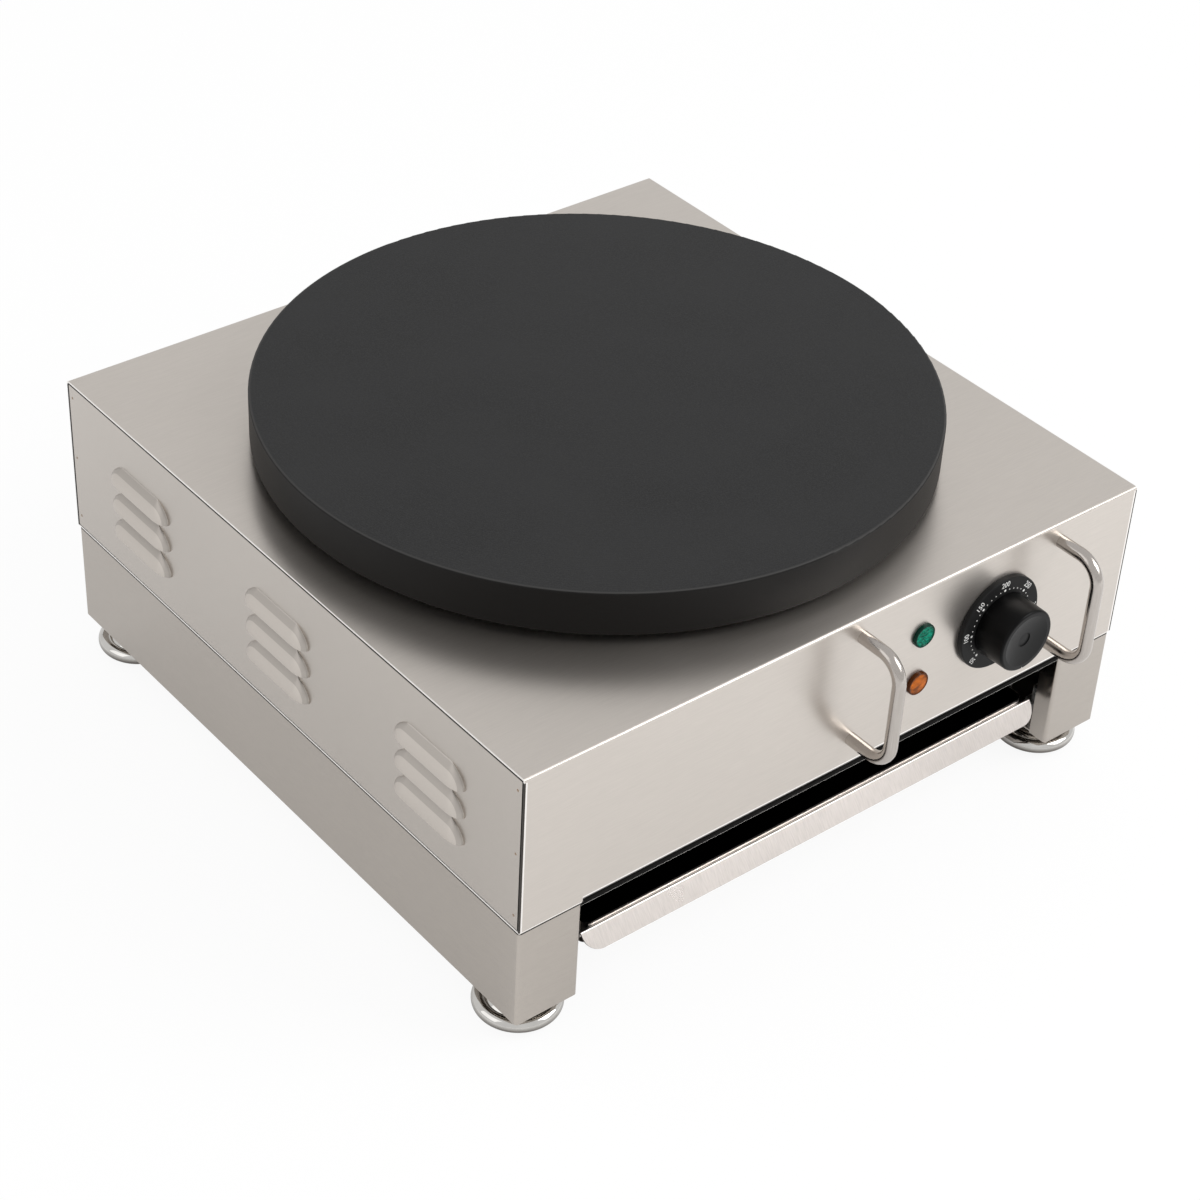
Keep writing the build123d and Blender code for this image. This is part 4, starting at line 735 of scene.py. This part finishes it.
class CREPE_OT_dial(Operator):
    """Dial ring with its printed scale"""
    bl_idname = "crepe.dial"
    bl_label = "Dial"

    def execute(self, context):
        dial = context.scene.crepe_maker.dial
        dress(["dial_bezel"], moulded("dial black", dial.black, 0.4, gloss=0.08))
        clearance = 0.012 * MM
        face = Vector((DIAL_CENTRE.x, BEZEL_LOW.y - clearance, DIAL_CENTRE.z))

        def spot(ring, clock):
            """A place on the ring, upright towards its centre, at an angle from the top."""
            turn = radians(clock)
            place = Matrix.Translation(face + Vector((ring * sin(turn), 0.0, ring * cos(turn))))
            return place @ FRONTWARDS @ Matrix.Rotation(-turn, 4, "Z")

        marks = []
        squeeze = Matrix.Diagonal((0.86, 1.0, 1.0, 1.0))
        first, step, dots = -135.0, 45.0, 5
        numbers = (50, 100, 150, 200, 250, 300)
        for index, number in enumerate(numbers):
            clock = first + index * step
            marks.append(printed(str(number), dial.number_height, spot(dial.number_ring, clock) @ squeeze))
            for dot in range(dots if number < numbers[-1] else 1):
                radius = dial.small_dot if dot else dial.big_dot
                profile = [(0.0, PRINT_THICKNESS), (radius * 0.9, PRINT_THICKNESS), (radius, 0.0)]
                place = spot(dial.dot_ring, clock + dot * step / dots)
                marks.append(finished(lathe(profile, 20), "dot", place))
        ink = Finish("dial ink", dial.ink, 0.5)
        film = ink.noise((1800.0, 1800.0, 1800.0), 2.0)
        ink.feed(ink.mix(ink.spread(film, 0.4, 0.7, 0.0, 1.0), dial.ink, shade(dial.ink, 0.9)), "Base Color")
        add_piece("dial_print", joined(marks, "dial_print"), "cabinet", "dial_black", ink.material)
        return {"FINISHED"}


class CREPE_OT_knob(Operator):
    """Knob and its white pointer"""
    bl_idname = "crepe.knob"
    bl_label = "Knob"

    def execute(self, context):
        dial = context.scene.crepe_maker.dial
        edge = 1.0 * MM
        # Painted light: the knob's face gets a lighter colour than its side.
        face = (DIAL_CENTRE, (KNOB_HIGH.x - KNOB_LOW.x) / 2 - edge, dial.knob_face)
        dress(["knob"], moulded("knob black", dial.knob_black, 0.33, grain=0.000015, gloss=0.11, lit_face=face))
        dress(["thermostat_spindle"], bright_metal("spindle steel", (0.55, 0.54, 0.52), 0.3))
        size = (1.2 * MM, 4.2 * MM, 1.1 * MM)
        depth, inset, rounding = 2.6 * MM, 0.9 * MM, 0.25 * MM
        place = (DIAL_CENTRE.x, KNOB_LOW.y + depth, KNOB_LOW.z + inset + size[2] / 2)
        pointer = bar(size, place, rounding)
        white = moulded("pointer white", dial.ink, 0.4)
        add_piece("knob_pointer", pointer, "knob", "knob_black", white)
        return {"FINISHED"}


class CREPE_OT_lamps(Operator):
    """Lamp lenses: pressed waffle in green, plain dome in amber"""
    bl_idname = "crepe.lamps"
    bl_label = "Lamps"

    def lens(self, name, colour, relief, ribs):
        """A round lens with a rounded rim, in place of its node."""
        low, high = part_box(name)
        radius, reach = (high.x - low.x) / 2, WRAP_LOW.y - low.y
        window, neck, back = radius * WINDOW_SHARE, radius * 0.76, WRAP_LOW.y - high.y
        sunk, hair = reach - 0.35 * MM, 0.05 * MM
        steps = 34
        profile = [(window * step / steps, sunk) for step in range(steps + 1)]
        profile += [(radius * 0.88, reach - hair), (radius * 0.93, reach), (radius * 0.975, reach * 0.9),
                    (radius, reach * 0.65), (radius, hair), (neck, hair), (neck, back), (0.0, back)]
        centre = (low + high) / 2
        place = Matrix.Translation((centre.x, WRAP_LOW.y, centre.z)) @ FRONTWARDS
        glass = Finish(name + " plastic", colour, 0.12)
        # Painted highlights and shade in a noise pattern, standing in for glints on the pressed facets.
        facet_glints = glass.spread(glass.noise(ribs, 2.0), 0.35, 0.65, 0.0, 1.0)
        lit = glass.mix(facet_glints, shade(colour, 0.45), shade(colour, 1.7))
        reach_in = glass.length(glass.coordinates((1.0, 0.0, 1.0), centre))
        # Painted shade darkens the rim of the lens.
        rim = glass.spread(reach_in, radius * 0.74, radius * 0.9, 0.0, 1.0)
        glass.feed(glass.mix(rim, lit, shade(colour, 0.16)), "Base Color")
        glass.set("Transmission Weight", 0.15)
        glass.set("IOR", 1.5)
        glass.set("Specular IOR Level", 0.07)

        def pressed(x, y):
            """The relief, inside the window only."""
            return relief(x, y) if x * x + y * y < window ** 2 else 0.0

        mesh = finished(lathe(profile, 96, pressed), name, place)
        piece = add_piece(name + "_face", mesh, "cabinet", name, glass.material, sharp=50.0)
        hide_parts(name)

    def execute(self, context):
        lamps = context.scene.crepe_maker.lamps
        wave, diagonal = pi / lamps.waffle_pitch, 0.7071

        def waffle(x, y):
            """Rows of pressed squares that stand on their corners."""
            u, v = (x + y) * diagonal, (x - y) * diagonal
            return -lamps.waffle_depth * (1.0 - abs(sin(u * wave)) * abs(sin(v * wave)))

        amber_low, amber_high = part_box("amber_lens")
        dome, rise = (amber_high.x - amber_low.x) / 2 * WINDOW_SHARE, 0.3 * MM

        def bulge(x, y):
            """A plain low dome."""
            return rise * (1.0 - (x * x + y * y) / dome ** 2)

        self.lens("green_lens", lamps.green, waffle, (250.0, 900.0, 900.0))
        self.lens("amber_lens", lamps.amber, bulge, (120.0, 120.0, 260.0))
        dress(["green_lamp_body", "amber_lamp_body", "thermostat_body"],
              moulded("inner moulding", (0.05, 0.05, 0.05), 0.5))
        return {"FINISHED"}


class CREPE_OT_handles(Operator):
    """Satin finish for the bow handles"""
    bl_idname = "crepe.handles"
    bl_label = "Handles"

    def execute(self, context):
        rod = Finish("handle satin", (0.48, 0.445, 0.415), 0.17, metallic=1.0)
        drawn = rod.noise((2400.0, 2400.0, 60.0), 3.0)
        dark, light = (0.40, 0.365, 0.335), (0.56, 0.525, 0.495)
        rod.feed(rod.mix(drawn, dark, light), "Base Color")
        rod.feed(rod.spread(rod.noise((40.0, 40.0, 40.0), 3.0), 0.3, 0.7, 0.14, 0.2), "Roughness")
        rod.bump(drawn, 0.000006)
        dress(["handle_left", "handle_right"], rod.material)
        return {"FINISHED"}


class CREPE_OT_feet(Operator):
    """Chrome cups, pads and threaded studs"""
    bl_idname = "crepe.feet"
    bl_label = "Feet"

    def execute(self, context):
        feet = context.scene.crepe_maker.feet
        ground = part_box("foot_cup_front_left")[0].z
        chrome = Finish("foot chrome", feet.chrome, 0.06, metallic=1.0)
        haze = chrome.noise((90.0, 90.0, 90.0), 4.0)
        plated = chrome.mix(chrome.spread(haze, 0.4, 0.8, 0.0, 1.0), feet.chrome, shade(feet.chrome, 0.85))
        # Painted shade on the lower part of each cup.
        height, blend = 6.5 * MM, 3.5 * MM
        foot = chrome.inside((-FAR, -FAR, -FAR), (FAR, FAR, ground + height), blend)
        chrome.feed(chrome.mix(foot, plated, feet.tarnish), "Base Color")
        chrome.feed(chrome.spread(haze, 0.3, 0.8, 0.05, 0.1), "Roughness")
        dress([f"foot_cup_{corner}" for corner in CORNERS], chrome.material)
        dress([f"foot_pad_{corner}" for corner in CORNERS], moulded("foot pad", feet.pad, 0.6, grain=0.00004))
        plating = bright_metal("stud plating", (0.60, 0.60, 0.59), 0.22)
        for corner in CORNERS:
            name = f"foot_stud_{corner}"
            low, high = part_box(name)
            stud = self.thread((high.x - low.x) / 2, high.z - low.z, feet.thread_pitch, feet.thread_depth)
            place = Matrix.Translation(((low.x + high.x) / 2, (low.y + high.y) / 2, low.z))
            piece = add_piece(f"foot_thread_{corner}", finished(stud, name, place), f"{corner}_foot",
                              "zinc_fastener", plating, sharp=60.0)
            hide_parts(name)
        return {"FINISHED"}

    def thread(self, radius, length, pitch, depth):
        """A stud with a rolled helical thread and a chamfered end, standing on the origin."""
        segments, per_turn, chamfer = 24, 8, 0.8 * MM
        rows = int(length / pitch * per_turn)
        mesh = bmesh.new()
        rings = []
        for row in range(rows + 1):
            height = length * row / rows
            ring = []
            for index in range(segments):
                phase = (height / pitch - index / segments) % 1.0
                crest = radius - depth * abs(2.0 * phase - 1.0)
                crest = min(crest, radius - chamfer + (length - height))
                turn = 2 * pi * index / segments
                ring.append(mesh.verts.new((crest * cos(turn), crest * sin(turn), height)))
            rings.append(ring)
        for first, second in zip(rings, rings[1:]):
            for index in range(segments):
                after = (index + 1) % segments
                mesh.faces.new((first[index], first[after], second[after], second[index]))
        mesh.faces.new(list(reversed(rings[0])))
        mesh.faces.new(rings[-1])
        return mesh


class CREPE_OT_rear(Operator):
    """Rear screws with cross recesses, gland and inner wiring"""
    bl_idname = "crepe.rear"
    bl_label = "Rear fittings and wiring"

    def execute(self, context):
        zinc = bright_metal("screw plating", (0.60, 0.60, 0.59), 0.24)
        head_radius, shank_radius, shank_length = 3.6 * MM, 2.0 * MM, 7.9 * MM
        profile = [(0.0, HEAD_HEIGHT), (1.6 * MM, 2.12 * MM), (2.7 * MM, 1.75 * MM), (3.4 * MM, 1.0 * MM),
                   (head_radius, 0.4 * MM), (head_radius, 0.0), (shank_radius, 0.0),
                   (shank_radius, -shank_length), (0.0, -shank_length)]
        span, slot, cut_depth = 4.2 * MM, 0.85 * MM, 2.6 * MM
        turn_per_metre = 40.0
        heads = []
        for x, z, seat in self.screw_places(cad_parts["rear_screws"].data):
            cutters = [bar((width, depth, cut_depth), (0.0, 0.0, HEAD_HEIGHT))
                       for width, depth in ((span, slot), (slot, span))]
            head = carved(finished(lathe(profile, 40), "head"), cutters)
            turn = Matrix.Rotation(x * turn_per_metre, 4, "Z")
            head.transform(Matrix.Translation((x, seat, z)) @ REARWARDS @ turn)
            heads.append(head)
        piece = add_piece("rear_screw_set", joined(heads, "rear_screw_set"), "cabinet", "zinc_fastener", zinc)
        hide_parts("rear_screws")
        dress(["cable_gland"], moulded("gland nylon", (0.025, 0.025, 0.026), 0.45))
        dress(["terminal_block"],
              two_toned("block ceramic", (0.75, 0.72, 0.66), 0.55, (1200.0, 1200.0, 1200.0), 3.0,
                        ((0.68, 0.65, 0.59), (0.80, 0.78, 0.72)), 0.00004))
        dress(["wiring"],
              two_toned("braided sleeve", (0.62, 0.60, 0.54), 0.85, (2200.0, 2200.0, 2200.0), 2.0,
                        ((0.50, 0.48, 0.42), (0.74, 0.72, 0.66)), 0.0001))
        return {"FINISHED"}

    def screw_places(self, solid):
        """Axis and seat of each rear screw, read from the node's own shape."""
        near = 8.0 * MM
        groups = []
        for vertex in solid.vertices:
            for group in groups:
                if abs(group[0].x - vertex.co.x) < near and abs(group[0].z - vertex.co.z) < near:
                    group.append(vertex.co)
                    break
            else:
                groups.append([vertex.co])
        for group in groups:
            x = (min(p.x for p in group) + max(p.x for p in group)) / 2
            z = (min(p.z for p in group) + max(p.z for p in group)) / 2
            yield x, z, max(p.y for p in group) - HEAD_HEIGHT


class CREPE_OT_studio(Operator):
    """Pale floor, soft light and the camera"""
    bl_idname = "crepe.studio"
    bl_label = "Studio"

    def execute(self, context):
        studio = context.scene.crepe_maker.studio
        floor, half_side = bmesh.new(), 15.0
        bmesh.ops.create_grid(floor, x_segments=4, y_segments=4, size=half_side)
        ground = bpy.data.objects.new("studio_floor", finished(floor, "studio_floor"))
        context.scene.collection.objects.link(ground)
        paper = Finish("paper floor", studio.floor, 0.9)
        tooth = paper.noise((3.0, 3.0, 3.0), 2.0)
        paper.feed(paper.mix(tooth, shade(studio.floor, 0.995), studio.floor), "Base Color")
        paper.set("Specular IOR Level", 0.1)
        self.brighten(paper, studio)
        ground.data.materials.append(paper.material)
        world = bpy.data.worlds.new("studio light")
        context.scene.world = world
        world.use_nodes = True
        sky = world.node_tree.nodes["Background"]
        sky.inputs["Color"].default_value = (1.0, 1.0, 1.0, 1.0)
        sky.inputs["Strength"].default_value = studio.sky
        self.lamp("key", studio.key, size=1.4, place=(1.3, -1.5, 1.7))
        self.lamp("fill", studio.fill, size=1.6, place=(-1.9, 0.4, 1.3))
        self.camera(context, studio)
        return {"FINISHED"}

    def brighten(self, paper, studio):
        """Let seen and mirrored floor come nearer to white, with its shadow kept."""
        path = paper.nodes.new("ShaderNodeLightPath")
        share = paper.spread(path.outputs["Is Camera Ray"], 0.0, 1.0, 0.0, studio.whiteness)
        for name in ("Is Glossy Ray", "Is Transmission Ray"):
            either = paper.nodes.new("ShaderNodeMath")
            either.operation = "MAXIMUM"
            paper.links.new(share, either.inputs[0])
            mirrored = paper.spread(path.outputs[name], 0.0, 1.0, 0.0, studio.mirrored_whiteness)
            paper.links.new(mirrored, either.inputs[1])
            share = either.outputs[0]
        glow = paper.nodes.new("ShaderNodeEmission")
        glow.inputs["Strength"].default_value = 1.0
        both = paper.nodes.new("ShaderNodeMixShader")
        paper.links.new(share, both.inputs["Fac"])
        paper.links.new(paper.shader.outputs[0], both.inputs[1])
        paper.links.new(glow.outputs[0], both.inputs[2])
        paper.links.new(both.outputs[0], paper.nodes["Material Output"].inputs["Surface"])

    def lamp(self, name, power, size, place):
        """A square soft box that looks at the machine."""
        light = bpy.data.lights.new(name, "AREA")
        light.shape = "SQUARE"
        light.size = size
        light.energy = power
        holder = bpy.data.objects.new(name, light)
        holder.location = place
        machine = Vector((0.0, 0.0, 0.12))
        aim = machine - Vector(place)
        holder.rotation_euler = aim.to_track_quat("-Z", "Y").to_euler()
        bpy.context.scene.collection.objects.link(holder)

    def camera(self, context, studio):
        """The view from the front left, above."""
        right = Vector((0.78028064, -0.62378794, 0.0452849))
        up = Vector((0.34742487, 0.4925136, 0.79795132))
        back = Vector((-0.52005584, -0.60689287, 0.60101827))
        place = Matrix.Translation((-0.89538, -1.04667, 1.11324))
        data = bpy.data.cameras.new("camera")
        data.sensor_width = 36.0
        data.lens = studio.lens
        camera = bpy.data.objects.new("camera", data)
        turn = Matrix((right, up, back)).transposed().to_4x4()
        camera.matrix_world = place @ turn
        context.scene.collection.objects.link(camera)
        context.scene.camera = camera
        context.scene.view_settings.view_transform = "Standard"


OPERATORS = (CREPE_OT_studio, CREPE_OT_sheets, CREPE_OT_hem, CREPE_OT_welds, CREPE_OT_griddle,
             CREPE_OT_heating, CREPE_OT_dial, CREPE_OT_knob, CREPE_OT_lamps, CREPE_OT_handles,
             CREPE_OT_feet, CREPE_OT_rear)


class CREPE_PT_sidebar(Panel):
    """Everything that can be built, with its settings"""
    bl_idname = "CREPE_PT_sidebar"
    bl_label = "Crepe maker"
    bl_space_type = "VIEW_3D"
    bl_region_type = "UI"
    bl_category = "Crepe maker"

    def draw(self, context):
        settings = context.scene.crepe_maker
        for operator in OPERATORS:
            self.layout.operator(operator.bl_idname)
        for group in ("steel", "plate", "dial", "lamps", "feet", "studio"):
            box = self.layout.box()
            box.label(text=group.capitalize())
            values = getattr(settings, group)
            for name in values.bl_rna.properties.keys():
                if name not in ("rna_type", "name"):
                    box.prop(values, name)


CLASSES = (SteelSettings, PlateSettings, DialSettings, LampSettings, FootSettings, StudioSettings,
           CrepeMakerSettings, *OPERATORS, CREPE_PT_sidebar)


def register():
    """Make the classes and the settings known."""
    for item in CLASSES:
        bpy.utils.register_class(item)
    bpy.types.Scene.crepe_maker = PointerProperty(type=CrepeMakerSettings)


def unregister():
    """Take them away again."""
    del bpy.types.Scene.crepe_maker
    for item in reversed(CLASSES):
        bpy.utils.unregister_class(item)


def main():
    """Build everything in order."""
    register()
    for operator in OPERATORS:
        group, name = operator.bl_idname.split(".")
        getattr(getattr(bpy.ops, group), name)()


if __name__ == "__main__":
    main()
